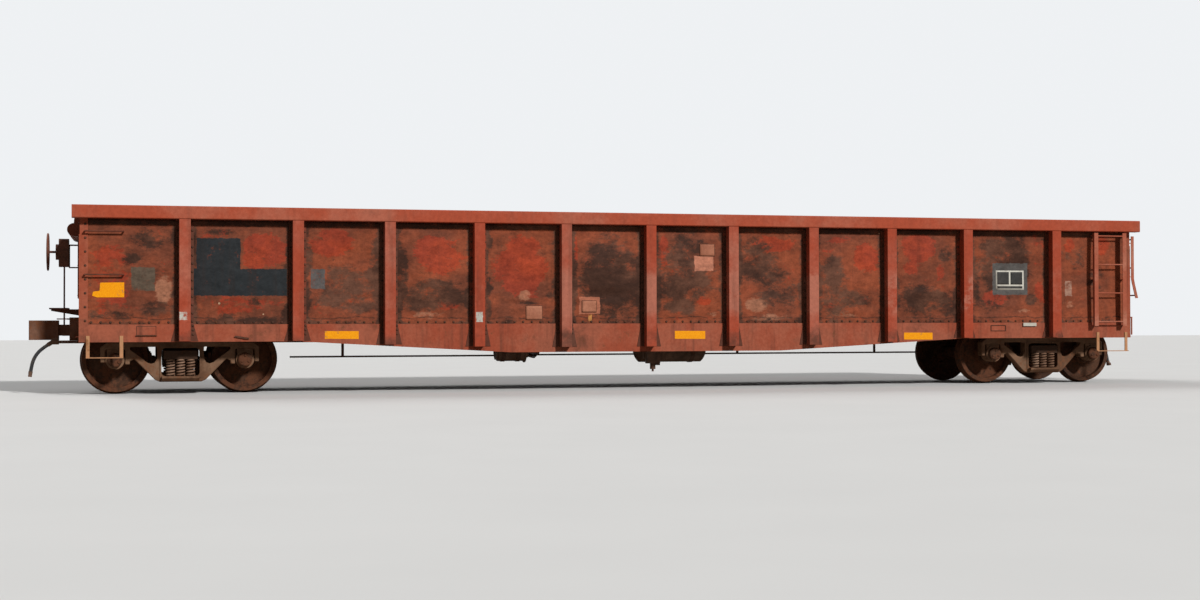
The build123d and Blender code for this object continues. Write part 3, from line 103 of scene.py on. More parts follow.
def fed(kind, wires, **settings):
    """A new node as from put, in the tree that the outputs among its wires belong to."""
    tree = next(value.id_data for value in wires.values() if isinstance(value, bpy.types.NodeSocket))
    return put(tree, kind, wires, **settings)


def sums(operation, a, b=0.0, clamp=False):
    """One Math node, given as its output."""
    return fed("Math", {0: a, 1: b}, operation=operation, use_clamp=clamp).outputs[0]


def seen_rays(tree):
    """1 for what the camera sees, straight or in a gloss, and 0 for light that bounces."""
    rays = put(tree, "LightPath").outputs
    seen = sums("MAXIMUM", rays["Is Camera Ray"], rays["Is Glossy Ray"])
    return sums("MAXIMUM", seen, rays["Is Transmission Ray"])


world = bpy.data.worlds.new("pale_room")
bpy.context.scene.world = world
world.use_nodes = True
room = world.node_tree
room.nodes.clear()
shade = put(room, "Background", {"Color": (0.93, 0.96, 1.0, 1), "Strength": 0.14})
backdrop = put(room, "Background", {"Color": (0.86, 0.88, 0.9, 1)})
either = put(room, "MixShader", {0: seen_rays(room), 1: shade.outputs[0], 2: backdrop.outputs[0]})
put(room, "OutputWorld", {"Surface": either.outputs[0]})


# Floor of the studio
# A wide pale sheet under the wheel flanges, which keeps the wagon's shadow.
# What it throws back on the wagon is as dark as earth, as under the real one.
def object_place(tree):
    """The shaded point in its object's own frame."""
    return put(tree, "TexCoord").outputs["Object"]


def noise(place, scale, detail, roughness=0.5, distortion=0.0):
    """One Noise Texture node, given as its grey output."""
    wires = {"Vector": place, "Scale": scale, "Detail": detail, "Roughness": roughness}
    return fed("TexNoise", {**wires, "Distortion": distortion}).outputs["Fac"]


def blend(share, first, second, way="MIX"):
    """One colour Mix node, given as its output; sockets 0, 6 and 7 are its factor and colours."""
    return fed("Mix", {0: share, 6: first, 7: second}, data_type="RGBA", blend_type=way).outputs[2]


def new_material(name):
    """A material, its node tree and its surface node."""
    made = bpy.data.materials.new(name)
    made.use_nodes = True
    return made, made.node_tree, made.node_tree.nodes["Principled BSDF"]


def make_piece(name, points, faces, materials, smooth=True, picks=None):
    """A mesh object at the origin from points and a list of faces; picks gives each face's material."""
    mesh = bpy.data.meshes.new(name)
    mesh.from_pydata(np.asarray(points, float).reshape(-1, 3).tolist(), [], faces)
    for material in materials:
        mesh.materials.append(material)
    mesh.polygons.foreach_set("use_smooth", np.full(len(mesh.polygons), smooth))
    if picks is not None:
        mesh.polygons.foreach_set("material_index", np.asarray(picks, np.int32))
    mesh.update()
    piece = bpy.data.objects.new(name, mesh)
    bpy.context.collection.objects.link(piece)
    return piece


def studio_paint(pale, darker, bounced):
    """Two pale tones under a faint broad noise to the camera, and one dark colour to other rays."""
    made, tree, surface = new_material("studio_floor_paint")
    sheet = blend(noise(object_place(tree), 0.7, 3.0), darker, pale)
    colour = blend(seen_rays(tree), bounced, sheet)
    connect(surface, {"Base Color": colour, "Roughness": 0.9})
    return made


floor_half = 90.0
floor_paint = studio_paint((0.72, 0.71, 0.69, 1), (0.6768, 0.6674, 0.6486, 1), (0.26, 0.22, 0.18, 1))
floor_corners = floor_half * np.array([(-1, -1, 0), (1, -1, 0), (1, 1, 0), (-1, 1, 0)])
studio_floor = make_piece("studio_floor", floor_corners, [(0, 1, 2, 3)], [floor_paint])

# Air hoses
# Rubber hoses hang from the angle cocks and curve down to their glad hands, free at that end.
# The route is drawn for the hand-brake end, and a half turn gives the other end's.
hose_route = [
    (-8.5922, -0.33, 0.6915),
    (-8.6875, -0.33, 0.6272),
    (-8.7599, -0.326, 0.5378),
    (-8.8048, -0.319, 0.4319),
    (-8.8228, -0.314, 0.3183),
]
hose_diameter = 0.050


def step(value, low, high):
    """0 below low and 1 above high, with a smooth rise between them."""
    wires = {"Value": value, "From Min": low, "From Max": high}
    return fed("MapRange", wires, interpolation_type="SMOOTHSTEP").outputs["Result"]


def hose_rubber():
    """Dull black rubber with rubbed, dusty high spots."""
    made, tree, surface = new_material("hose_rubber")
    place = object_place(tree)
    dust = step(noise(place, 9.0, 6.0), 0.48, 0.72)
    rings = fed("TexWave", {"Vector": place, "Scale": 60.0}, bands_direction="Z").outputs["Fac"]
    lift = fed("Bump", {"Height": rings, "Strength": 0.15, "Distance": 0.002})
    colour = blend(dust, (0.012, 0.012, 0.013, 1), (0.085, 0.065, 0.05, 1))
    connect(surface, {"Base Color": colour, "Normal": lift.outputs["Normal"], "Roughness": 0.72})
    return made


rubber = hose_rubber()
for end, side in (("b", 1), ("a", -1)):
    curve = bpy.data.curves.new(f"hose_{end}", "CURVE")
    curve.dimensions = "3D"
    curve.bevel_depth = hose_diameter / 2
    curve.bevel_resolution = 5
    curve.resolution_u = 12
    curve.use_fill_caps = True
    line = curve.splines.new("NURBS")
    line.points.add(len(hose_route) - 1)
    for point, (x, y, z) in zip(line.points, hose_route):
        point.co = (side * x, side * y, z, 1)
    line.order_u = 3
    line.use_endpoint_u = True
    hose = bpy.data.objects.new(f"hose_{end}", curve)
    bpy.context.collection.objects.link(hose)
    curve.materials.append(rubber)
    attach(hose, "wagon")
    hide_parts(f"air_hose_{end}")
    x, y, z = hose_route[0]

# Paint and weathering
# The wagon is oxide-red paint on steel that has carried scrap for decades: the paint has faded,
# soot and rust run down it, and bare rusty steel shows where it has been scraped.
# Each row is an input of the weathering group: name, kind of socket, value
weather_inputs = [
    ("Paint", "Color", (0.4, 0.09, 0.045, 1)),
    ("Faded", "Color", (0.42, 0.14, 0.08, 1)),
    ("Rust", "Color", (0.2, 0.075, 0.035, 1)),
    ("Grime", "Color", (0.09, 0.045, 0.03, 1)),
    ("Fade Share", "Float", 0.3),
    ("Rust Share", "Float", 0.3),
    ("Grime Share", "Float", 0.3),
    ("Streak Share", "Float", 0.3),
    ("Grain", "Float", 1.0),
]


def new_group(name, inputs, outputs):
    """A node group with the rows' sockets, and what its input node gives."""
    tree = bpy.data.node_groups.new(name, "ShaderNodeTree")
    for socket, kind, value in inputs:
        made = tree.interface.new_socket(socket, in_out="INPUT", socket_type=f"NodeSocket{kind}")
        made.default_value = value
    for socket, kind in outputs:
        tree.interface.new_socket(socket, in_out="OUTPUT", socket_type=f"NodeSocket{kind}")
    return tree, tree.nodes.new("NodeGroupInput").outputs


def times(a, b, clamp=False):
    """a * b, cut to 0 and 1 if clamp says so."""
    return sums("MULTIPLY", a, b, clamp)


def plus(a, b):
    """a + b."""
    return sums("ADD", a, b)


def minus(a, b):
    """a - b."""
    return sums("SUBTRACT", a, b)


def weighted(*terms):
    """The sum of each term's value * weight."""
    total, *others = [times(value, weight) for value, weight in terms]
    for other in others:
        total = plus(total, other)
    return total


def spread(value, low, high, to_low, to_high):
    """Value mapped evenly from low..high to to_low..to_high, and held outside them."""
    wires = {"Value": value, "From Min": low, "From Max": high, "To Min": to_low, "To Max": to_high}
    return fed("MapRange", wires).outputs["Result"]


def stretched(place, scale, turn=(0, 0, 0)):
    """A place turned and scaled; a small factor draws a pattern out along its axis."""
    return fed("Mapping", {"Vector": place, "Scale": scale, "Rotation": turn}).outputs[0]


def coat(under, colour, mask, strength):
    """A colour laid over another where the mask is 1, as thickly as its strength."""
    return blend(times(mask, strength), under, colour)


def shaded(colour, value):
    """A colour made lighter or darker by a factor."""
    tone = fed("CombineColor", {0: value, 1: value, 2: value}).outputs[0]
    return blend(1.0, colour, tone, "MULTIPLY")


def weathering_group():
    """Paint that fades in broad clouds, under grime and streaks that run down it, and patches of rust."""
    outputs = [("Color", "Color"), ("Roughness", "Float"), ("Height", "Float")]
    tree, given = new_group("weathered_steel", weather_inputs, outputs)
    place = object_place(tree)
    broad = noise(place, 1.1, 7.0, 0.62)
    patch = noise(place, 3.4, 9.0, 0.68, 0.4)
    fine = noise(place, 22.0, 6.0, 0.7)
    runs = noise(stretched(place, (9.0, 9.0, 0.55)), 1.0, 5.0, 0.6)
    fade_line = minus(0.9, times(given["Fade Share"], 0.4))
    fade = step(plus(broad, times(fine, 0.12)), 0.45, fade_line)
    streak = times(step(runs, 0.48, 0.78), given["Streak Share"], True)
    grime_level = weighted((broad, 0.55), (patch, 0.45), (given["Grime Share"], 0.5))
    grime = sums("MAXIMUM", step(grime_level, 0.62, 0.86), streak)
    rust_level = weighted((patch, 0.6), (fine, 0.4), (given["Rust Share"], 0.4))
    rust = step(rust_level, 0.66, 0.74)
    colour = blend(fade, given["Paint"], given["Faded"])
    colour = coat(colour, given["Grime"], grime, 0.85)
    colour = coat(colour, given["Rust"], rust, 0.8)
    colour = shaded(colour, spread(fine, 0.3, 0.7, 0.86, 1.14))
    rough = spread(sums("MAXIMUM", rust, grime), 0.0, 1.0, 0.52, 0.88)
    height = weighted((fine, given["Grain"]), (rust, -0.3))
    connect(tree.nodes.new("NodeGroupOutput"), {"Color": colour, "Roughness": rough, "Height": height})
    return tree


weathering = weathering_group()


def steel_surface(surface, colour, worn, bump, metallic=0.0):
    """Wires a colour and the weathering's roughness and relief into a surface node."""
    lift = fed("Bump", {"Height": worn["Height"], "Strength": bump, "Distance": 0.004})
    connect(surface, {
        "Base Color": colour,
        "Roughness": worn["Roughness"],
        "Normal": lift.outputs["Normal"],
        "Metallic": metallic,
        "Specular IOR Level": 0.06,
    })


def weathered(name, paint, faded, rust, grime, shares, bump=0.35, grain=1.0, metallic=0.0):
    """A steel or iron finish from the weathering group; shares are of fading, rust, grime and streaks."""
    made, tree, surface = new_material(name)
    values = [(*colour, 1) for colour in (paint, faded, rust, grime)] + [*shares, grain]
    worn = put(tree, "Group", dict(enumerate(values)), node_tree=weathering, name="weathering")
    steel_surface(surface, worn.outputs["Color"], worn.outputs, bump, metallic)
    return made


def dress(material, *nodes):
    """Gives CAD nodes a finish."""
    for node in nodes:
        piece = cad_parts[node]
        piece.data.materials.clear()
        piece.data.materials.append(material)


# Frame of the body
# Rectangular tubes along the top, pressed posts and deep sills, all welded and painted oxide red.
# The tubes and posts take the sun and stay the cleanest and reddest of the wagon.
oxide_red = (0.385, 0.072, 0.034)
faded_red = (0.40, 0.118, 0.070)
deep_rust = (0.16, 0.056, 0.028)
soot_brown = (0.075, 0.038, 0.026)
scraped_white = (0.55, 0.54, 0.47, 1)
post_front_y = -1.58
# Each row is a scrape of white paint on a post: middle x and z, half length and height, colour, share left
scuffs = [
    (-6.751, 1.096, 0.052, 0.055, scraped_white, 0.62),
    (-2.599, 1.078, 0.048, 0.072, scraped_white, 0.62),
]


def axes_of(place):
    """The X, Y and Z of a place or direction."""
    return fed("SeparateXYZ", {0: place}).outputs


def patch_mask_group():
    """1 in the rectangle |x - X| < Half X, |z - Z| < Half Z where y < Face Y, with frayed, chipped edges."""
    inputs = [("X", 0.0), ("Z", 1.5), ("Half X", 0.3), ("Half Z", 0.2), ("Left", 0.8), ("Face Y", -1.4)]
    inputs = [(name, "Float", value) for name, value in inputs]
    tree, given = new_group("patch_mask", inputs, [("Mask", "Float")])
    place = object_place(tree)
    axes = axes_of(place)
    fray = noise(place, 18.0, 6.0, 0.7)
    chips = noise(place, 7.0, 9.0, 0.75)
    beyond_x, beyond_z = [
        minus(sums("ABSOLUTE", minus(axes[axis], given[axis])), given[f"Half {axis}"])
        for axis in "XZ"
    ]
    frayed = times(minus(fray, 0.5), 0.05)
    outside = plus(sums("MAXIMUM", beyond_x, beyond_z), frayed)
    inside = step(times(outside, -1.0), -0.004, 0.006)
    kept = step(minus(given["Left"], chips), 0.0, 0.16)
    facing = sums("LESS_THAN", axes["Y"], given["Face Y"])
    connect(tree.nodes.new("NodeGroupOutput"), {"Mask": times(times(inside, kept), facing)})
    return tree


patch_mask = patch_mask_group()


def lay_patches(tree, colour, rows, face_y):
    """Mixes each row's painted rectangle over a colour."""
    for x, z, half_x, half_z, tint, left in rows:
        values = dict(enumerate((x, z, half_x, half_z, left, face_y)))
        mask = put(tree, "Group", values, node_tree=patch_mask).outputs["Mask"]
        colour = blend(mask, colour, tint)
    return colour


def wear_posts(tree):
    """Rubs the posts paler between knee and head height, and makes their flanges and feet darker."""
    place = object_place(tree)
    axes = axes_of(place)
    below_head = minus(1.0, step(axes["Z"], 1.6, 1.9))
    rubbed = times(step(axes["Z"], 1.0, 1.25), below_head)
    uneven = noise(stretched(place, (1.0, 0, 0)), 0.7, 1.0)
    loaded = times(step(axes["X"], -3.4, -2.8), step(uneven, 0.36, 0.56))
    rubbed = times(rubbed, plus(0.12, times(loaded, 0.88)))
    foot = minus(1.0, step(axes["Z"], 0.78, 1.02))
    flange = sums("LESS_THAN", sums("ABSOLUTE", axes["Y"]), 1.5)
    connect(tree.nodes["weathering"], {
        "Paint": lay_patches(tree, (0.36, 0.062, 0.029, 1), scuffs, post_front_y),
        "Faded": lay_patches(tree, (0.42, 0.14, 0.09, 1), scuffs, post_front_y),
        "Fade Share": plus(0.12, times(rubbed, 0.85)),
        "Grime Share": plus(0.05, weighted((flange, 0.62), (foot, 0.42))),
    })


chord_paint = weathered("chord_paint", oxide_red, faded_red, deep_rust, soot_brown, (0.4, 0.02, 0.05, 0.25))
post_paint = weathered(
    "post_paint", (0.35, 0.066, 0.033), (0.42, 0.145, 0.095), deep_rust, soot_brown, (0.5, 0.12, 0.12, 0.45)
)
wear_posts(post_paint.node_tree)
sill_paint = weathered(
    "sill_paint", (0.31, 0.067, 0.033), (0.35, 0.1, 0.055), deep_rust, soot_brown, (0.6, 0.24, 0.24, 0.7)
)
end_paint = weathered(
    "end_paint", (0.2, 0.055, 0.032), (0.25, 0.085, 0.052), deep_rust, soot_brown, (0.4, 0.22, 0.3, 0.6)
)
dress(chord_paint, "top_chords")
dress(post_paint, "side_posts")
dress(sill_paint, "side_sills", "corner_posts", "end_sills")
dress(end_paint, "end_top_rails")

# Side sheets
# Steel sheet 6 mm thick, bowed between the posts by years of scrap dropped against it.
# Its paint has gone from bright red to brown and black in patches, listed here.
sheet_inner_y = 1.448
sheet_thickness = 0.006
sheet_low_z = 0.9004
sheet_high_z = 2.4402
sheet_half_length = 8.128
sheet_front_y = -1.4
floor_line_z = 1.03
chord_line_z = 2.43
chord_shade_z = 2.33
sill_seam_z = 0.985
post_half = 0.122
post_places = np.array([-6.731, -5.182, -3.886, -2.591, -1.295, 0, 1.295, 2.591, 3.886, 5.182, 6.731])
bay_edges = np.array([-sheet_half_length, *post_places, sheet_half_length])
# Outward bow of each bay's middle on the near side, in millimetres; the far side has them in another order
bay_bows = np.array([8, 20, -24, 28, -20, 27, 30, -24, 30, 24, -27, -10])
far_bows = np.roll(bay_bows, 5)
far_shift = 0.3
# Each row is a dent of the near side: middle x and z, half length and height, depth in mm
dents = [
    (-7.45, 1.12, 0.75, 0.07, 9),
    (-6.00, 1.1, 0.85, 0.07, -12),
    (-5.95, 1.9, 0.4, 0.3, -10),
    (-4.55, 1.14, 0.6, 0.08, 11),
    (-4.3, 1.95, 0.35, 0.22, -14),
    (-3.25, 1.55, 0.3, 0.42, 12),
    (-1.95, 1.28, 0.55, 0.05, -10),
    (-1.7, 1.8, 0.26, 0.3, 13),
    (-0.65, 1.4, 0.5, 0.12, -13),
    (-0.4, 2.00, 0.25, 0.2, 10),
    (0.6, 1.12, 0.45, 0.08, 12),
    (0.8, 1.95, 0.3, 0.25, -8),
    (2.00, 1.12, 0.45, 0.1, -14),
    (3.2, 1.16, 0.5, 0.07, 12),
    (3.3, 1.9, 0.3, 0.35, -11),
    (4.5, 1.45, 0.45, 0.12, 12),
    (5.95, 1.16, 0.7, 0.08, -12),
    (6.45, 2.05, 0.25, 0.2, 8),
]
# Each blotch of the near side is five numbers: its middle x and z, half length and half height in
# centimetres, and its strength in per cent. These are darkened by soot
sooty = [
    (-800, 167, 3, 33, 40), (-790, 112, 24, 8, 80), (-758, 111, 58, 6, 50), (-746, 188, 17, 11, 80),
    (-737, 204, 48, 8, 35), (-724, 121, 16, 5, 60), (-721, 215, 34, 17, 80), (-717, 119, 30, 14, 85),
    (-716, 226, 29, 10, 60), (-714, 170, 28, 11, 75), (-622, 227, 28, 6, 75), (-615, 110, 15, 8, 90),
    (-614, 111, 14, 10, 80), (-610, 227, 16, 6, 30), (-591, 105, 60, 6, 50), (-579, 129, 14, 7, 80),
    (-577, 128, 14, 6, 60), (-536, 110, 6, 17, 70), (-499, 192, 6, 23, 80), (-454, 152, 45, 37, 90),
    (-450, 130, 60, 16, 85), (-435, 155, 48, 26, 70), (-431, 124, 31, 14, 80), (-410, 172, 11, 60, 85),
    (-409, 201, 7, 23, 70), (-375, 160, 16, 60, 85), (-368, 167, 10, 57, 90), (-352, 124, 26, 11, 70),
    (-323, 150, 50, 17, 90), (-320, 136, 66, 24, 90), (-300, 217, 23, 9, 30), (-241, 217, 6, 12, 80),
    (-241, 153, 7, 17, 70), (-241, 121, 7, 15, 70), (-199, 177, 9, 12, 50), (-181, 128, 24, 4, 70),
    (-175, 215, 33, 7, 40), (-153, 139, 8, 9, 60), (-62, 166, 58, 77, 100), (-62, 162, 66, 72, 85),
    (42, 172, 44, 66, 80), (49, 124, 32, 18, 90), (65, 184, 54, 60, 90), (175, 192, 42, 46, 80),
    (176, 209, 29, 12, 40), (195, 170, 49, 27, 80), (210, 140, 55, 30, 70), (227, 136, 20, 18, 60),
    (297, 170, 23, 49, 90), (300, 145, 36, 50, 75), (330, 137, 40, 19, 80), (438, 137, 34, 28, 100),
    (455, 134, 66, 30, 80), (485, 121, 24, 16, 80), (489, 203, 17, 25, 60), (541, 153, 7, 47, 80),
    (560, 125, 40, 16, 60), (585, 185, 66, 58, 80), (590, 207, 60, 41, 90), (636, 134, 14, 13, 90),
    (647, 230, 18, 13, 40), (715, 208, 25, 35, 50), (754, 166, 22, 26, 50),
]
# These are left the first bright red
first_red = [
    (-772, 162, 36, 72, 52), (-766, 170, 40, 41, 35), (-632, 224, 30, 11, 50), (-632, 121, 33, 14, 35),
    (-605, 127, 62, 20, 50), (-566, 200, 36, 31, 100), (-564, 200, 42, 28, 95), (-555, 121, 22, 17, 40),
    (-491, 124, 11, 9, 50), (-468, 212, 37, 26, 90), (-465, 110, 42, 6, 40), (-317, 196, 44, 35, 100),
    (-303, 125, 20, 9, 70), (-196, 182, 48, 56, 100), (-112, 207, 4, 30, 80), (24, 208, 9, 27, 90),
    (87, 132, 17, 9, 90), (97, 109, 19, 8, 20), (202, 219, 45, 15, 90), (290, 124, 13, 6, 50),
    (303, 226, 30, 8, 60), (346, 132, 13, 8, 80), (353, 199, 27, 31, 90), (428, 184, 17, 16, 70),
    (441, 215, 38, 25, 100), (477, 178, 10, 16, 60), (572, 137, 31, 16, 80), (653, 147, 14, 19, 80),
    (704, 221, 11, 16, 60), (762, 221, 18, 19, 90),
]
# These are bleached
bleached = [
    (-702, 151, 19, 30, 60), (-702, 148, 16, 26, 95), (-329, 109, 52, 10, 45), (-188, 140, 13, 10, 100),
    (-176, 112, 15, 12, 50), (-91, 124, 17, 10, 70), (97, 109, 19, 8, 40), (172, 126, 26, 15, 90),
    (192, 106, 45, 9, 50), (316, 112, 37, 8, 60), (625, 117, 18, 5, 70), (703, 128, 14, 10, 60),
]
# Each row is a painted rectangle: middle x and z, half length and height, colour, share left
painted_patches = [
    (-6.272, 1.958, 0.302, 0.226, (0.024, 0.027, 0.029, 1), 0.72),
    (-5.974, 1.568, 0.645, 0.19, (0.024, 0.027, 0.029, 1), 0.74),
    (-7.29, 1.608, 0.16, 0.165, (0.105, 0.075, 0.052, 1), 0.66),
    (-4.895, 1.62, 0.1, 0.14, (0.1, 0.09, 0.085, 1), 0.66),
    (-0.913, 1.248, 0.16, 0.125, (0.4, 0.14, 0.08, 1), 0.8),
    (-0.906, 1.07, 0.03, 0.05, (0.6, 0.27, 0.08, 1), 0.62),
    (0.866, 1.88, 0.15, 0.112, (0.48, 0.185, 0.112, 1), 0.88),
    (5.997, 1.672, 0.306, 0.252, (0.1, 0.092, 0.085, 1), 0.74),
    (7.025, 1.526, 0.062, 0.12, (0.34, 0.19, 0.135, 1), 0.6),
]


def reach(x, z, rows):
    """r^2 = ((x-a)/p)^2 + ((z-b)/q)^2 from each row's a, b, p and q, and the rows' last column."""
    middle_x, middle_z, half_x, half_z, amount = np.array(rows, float).T
    return ((x[..., None] - middle_x) / half_x) ** 2 + ((z[..., None] - middle_z) / half_z) ** 2, amount


def blotched(x, z, rows):
    """Highest over the rows of strength * clip(1.3 * (1 - r^2), 0, 1)."""
    squared, strength = reach(x, z, np.array(rows) / 100)
    return (np.clip(1.3 * (1 - squared), 0, 1) * strength).max(axis=-1)


def dent_depth(x, z):
    """Sum over the dents of depth * (1 - r^2)^2 inside r < 1."""
    squared, depth = reach(x, z, dents)
    return np.clip(1 - squared, 0, 1) ** 2 @ depth


def sheet_bow(x, z, side):
    """How far the sheet stands out: each bay's bow * sin(pi u)^0.5 * sin(pi v)^1.6, with ripples and dents.
    u runs from post flange to post flange and v from the floor line to the chord."""
    bay = np.clip(np.searchsorted(bay_edges, x, side="right") - 1, 0, len(bay_bows) - 1)
    width = bay_edges[bay + 1] - bay_edges[bay] - 2 * post_half
    u = np.clip((x - bay_edges[bay] - post_half) / width, 0, 1)
    v = np.clip((z - floor_line_z) / (chord_line_z - floor_line_z), 0, 1)
    hold = np.clip(np.sin(math.pi * u), 0, 1) ** 0.5 * np.clip(np.sin(math.pi * v), 0, 1) ** 0.6
    bows = (bay_bows if side < 0 else far_bows)[bay]
    ripple = 2.2 * np.sin(3.1 * x + 1.7 * z) * np.sin(4.3 * z - 1.1 * x) + 1.5 * np.sin(7.9 * x - 2.0 * z)
    marks = dent_depth(x if side < 0 else -x, z)
    return 0.001 * hold * (bows * np.sin(math.pi * v) + ripple + marks)


def painted_shade_and_seam_dirt(x, z):
    """Painted shade in a band along the posts and under the chord, and soot exp(-d / 4 cm) above the sill.
    """
    to_post = np.abs(np.abs(x[..., None] - post_places).min(axis=-1) - post_half)
    at_post = 0.85 * np.clip(1.5 - to_post / 0.05, 0, 1)
    at_chord = 1.1 * np.clip((z - chord_shade_z) / 0.05, 0, 1)
    return at_post + at_chord + 0.75 * np.exp(-np.abs(z - sill_seam_z) / 0.04)


def closed_shell(name, front, back, materials, flip=False):
    """A plate between two grids of points of one shape: both faces, and a strip round the rim."""
    numbers = np.arange(front[..., 0].size).reshape(front.shape[:2])
    corners = [numbers[:-1, :-1], numbers[1:, :-1], numbers[1:, 1:], numbers[:-1, 1:]]
    faces = np.stack(corners, axis=-1).reshape(-1, 4)
    rim = np.concatenate([numbers[:, 0], numbers[-1, 1:], numbers[-2::-1, -1], numbers[0, -2:0:-1]])
    after = np.roll(rim, -1)
    strip = np.stack([rim, rim + numbers.size, after + numbers.size, after], axis=1)
    quads = np.concatenate([faces, faces[:, ::-1] + numbers.size, strip])
    picks = np.repeat([0, len(materials) - 1], [len(faces), len(faces) + len(strip)])
    if flip:
        quads = quads[:, ::-1]
    points = np.concatenate([front.reshape(-1, 3), back.reshape(-1, 3)])
    return make_piece(name, points, quads.tolist(), materials, picks=picks)


def panel_paint():
    """Paint with soot and painted shade, first bright red and bleaching where the colour attribute's red,
    green and blue are.
    A noise is added to each before the cut, which gives the patches ragged edges."""
    made = weathered(
        "panel_paint", (0.2, 0.06, 0.03), (0.2, 0.06, 0.03), (0.15, 0.055, 0.027), (0.050, 0.026, 0.018),
        (0.0, 0.06, 0.05, 0.35), 0.4,
    )
    tree = made.node_tree
    place = object_place(tree)
    drawn = stretched(place, (0.6, 1.0, 1.0))
    edge = noise(drawn, 4.2, 14.0, 0.74, 0.25)
    scuff = noise(drawn, 19.0, 8.0, 0.8)
    cloud = noise(drawn, 1.6, 8.0, 0.65)
    scrape = noise(stretched(place, (1.3, 1.0, 13.0), (0, 0.03, 0)), 1.4, 6.0, 0.6)
    mottle = noise(stretched(place, (0.75, 1.0, 1.25)), 8.0, 12.0, 0.8)
    # The three kinds of patch, cut ragged
    ragged = times(minus(weighted((edge, 0.65), (scuff, 0.35)), 0.5), 4.8)
    wear_and_shade = put(tree, "Attribute", attribute_name="wear_and_shade").outputs["Color"]
    wear_and_shade = fed("SeparateColor", {"Color": wear_and_shade}).outputs
    # The red channel's cut lays both soot and the painted shade along the posts and under the chord
    soot_and_shade = step(plus(wear_and_shade["Red"], ragged), 0.32, 0.86)
    first = step(minus(wear_and_shade["Green"], ragged), 0.4, 0.58)
    bleach = step(plus(wear_and_shade["Blue"], times(ragged, 0.9)), 0.45, 0.75)
    paint = blend(step(cloud, 0.38, 0.6), (0.17, 0.05, 0.026, 1), (0.275, 0.068, 0.03, 1))
    bright = blend(step(cloud, 0.4, 0.62), (0.28, 0.045, 0.022, 1), (0.37, 0.056, 0.022, 1))
    black = blend(step(cloud, 0.42, 0.6), (0.043, 0.021, 0.014, 1), (0.128, 0.058, 0.036, 1))
    paint = blend(first, paint, bright)
    paint = coat(paint, (0.37, 0.16, 0.092, 1), bleach, 0.8)
    paint = coat(paint, (0.11, 0.04, 0.024, 1), step(scrape, 0.62, 0.74), 0.4)
    paint = coat(paint, black, soot_and_shade, 0.92)
    # Specks of soot, and painted shade of a crease that wanders along above the sill
    speck = step(noise(drawn, 34.0, 8.0, 0.75), 0.56, 0.64)
    speck = times(speck, step(edge, 0.44, 0.58))
    paint = coat(paint, (0.06, 0.028, 0.019, 1), speck, 0.6)
    wander = noise(stretched(place, (1.0, 0, 0)), 2.2, 5.0)
    line = plus(1.065, times(minus(wander, 0.5), 0.16))
    off_line = sums("ABSOLUTE", minus(axes_of(place)["Z"], line))
    crease_shade = minus(1.0, step(off_line, 0.003, 0.016))
    crease_shade = times(crease_shade, step(scuff, 0.38, 0.56))
    paint = coat(paint, (0.045, 0.024, 0.017, 1), crease_shade, 0.75)
    # Painted rectangles, the mottle over all of it, and pale chips
    paint = lay_patches(tree, paint, painted_patches, sheet_front_y)
    paint = shaded(paint, spread(mottle, 0.34, 0.64, 0.6, 1.27))
    cell = fed("TexVoronoi", {"Vector": place, "Scale": 3.4}).outputs
    spot = sums("LESS_THAN", cell["Distance"], 0.055)
    pick = fed("SeparateColor", {"Color": cell["Color"]}).outputs["Red"]
    chip = times(spot, sums("GREATER_THAN", pick, 0.66))
    paint = coat(paint, (0.52, 0.34, 0.21, 1), chip, 0.8)
    connect(tree.nodes["weathering"], {"Paint": paint, "Faded": paint})
    return made


panel = panel_paint()
inside_rust = weathered(
    "inside_rust", (0.125, 0.055, 0.033), (0.19, 0.09, 0.052), (0.115, 0.045, 0.024), (0.055, 0.034, 0.026),
    (0.5, 0.5, 0.5, 0.4), 0.6,
)
along = np.linspace(-sheet_half_length, sheet_half_length, 465)
below_line = np.linspace(sheet_low_z, floor_line_z, 6)[:-1]
above_line = np.linspace(floor_line_z, sheet_high_z, 41)
grid_x, grid_z = np.meshgrid(along, np.concatenate([below_line, above_line]), indexing="ij")
for side, name in ((-1, "near"), (1, "far")):
    inner_y = sheet_inner_y + sheet_bow(grid_x, grid_z, side)
    front = np.dstack([grid_x, side * (inner_y + sheet_thickness), grid_z])
    back = np.dstack([grid_x, side * inner_y, grid_z])
    sheet = closed_shell(f"{name}_side_sheet", front, back, [panel, inside_rust], flip=side > 0)
    stained_x = grid_x if side < 0 else far_shift - grid_x
    wear_and_shade = np.dstack([blotched(stained_x, grid_z, rows) for rows in (sooty, first_red, bleached)])
    # The red channel takes the painted shade along the posts and under the chord, as well as soot
    wear_and_shade[..., 0] += painted_shade_and_seam_dirt(grid_x, grid_z)
    wear_and_shade = np.clip(np.pad(wear_and_shade.reshape(-1, 3), ((0, 0), (0, 1)), constant_values=1), 0, 1)
    layer = sheet.data.color_attributes.new("wear_and_shade", "FLOAT_COLOR", "POINT")
    layer.data.foreach_set("color", np.tile(wear_and_shade.ravel(), 2))
    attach(sheet, "wagon")
    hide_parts("side_sheets")

# Floor and ends
# The floor plate is scraped bare and rusty, and so are the insides of the corrugated end sheets.
# Their outsides are the dull red-brown of the ends.
floor_rust = weathered(
    "floor_rust", (0.13, 0.065, 0.042), (0.2, 0.11, 0.07), (0.16, 0.062, 0.03), (0.05, 0.036, 0.03),
    (0.5, 0.55, 0.5, 0.0), 0.7, 1.4, 0.15,
)
dress(floor_rust, "floor_plate")


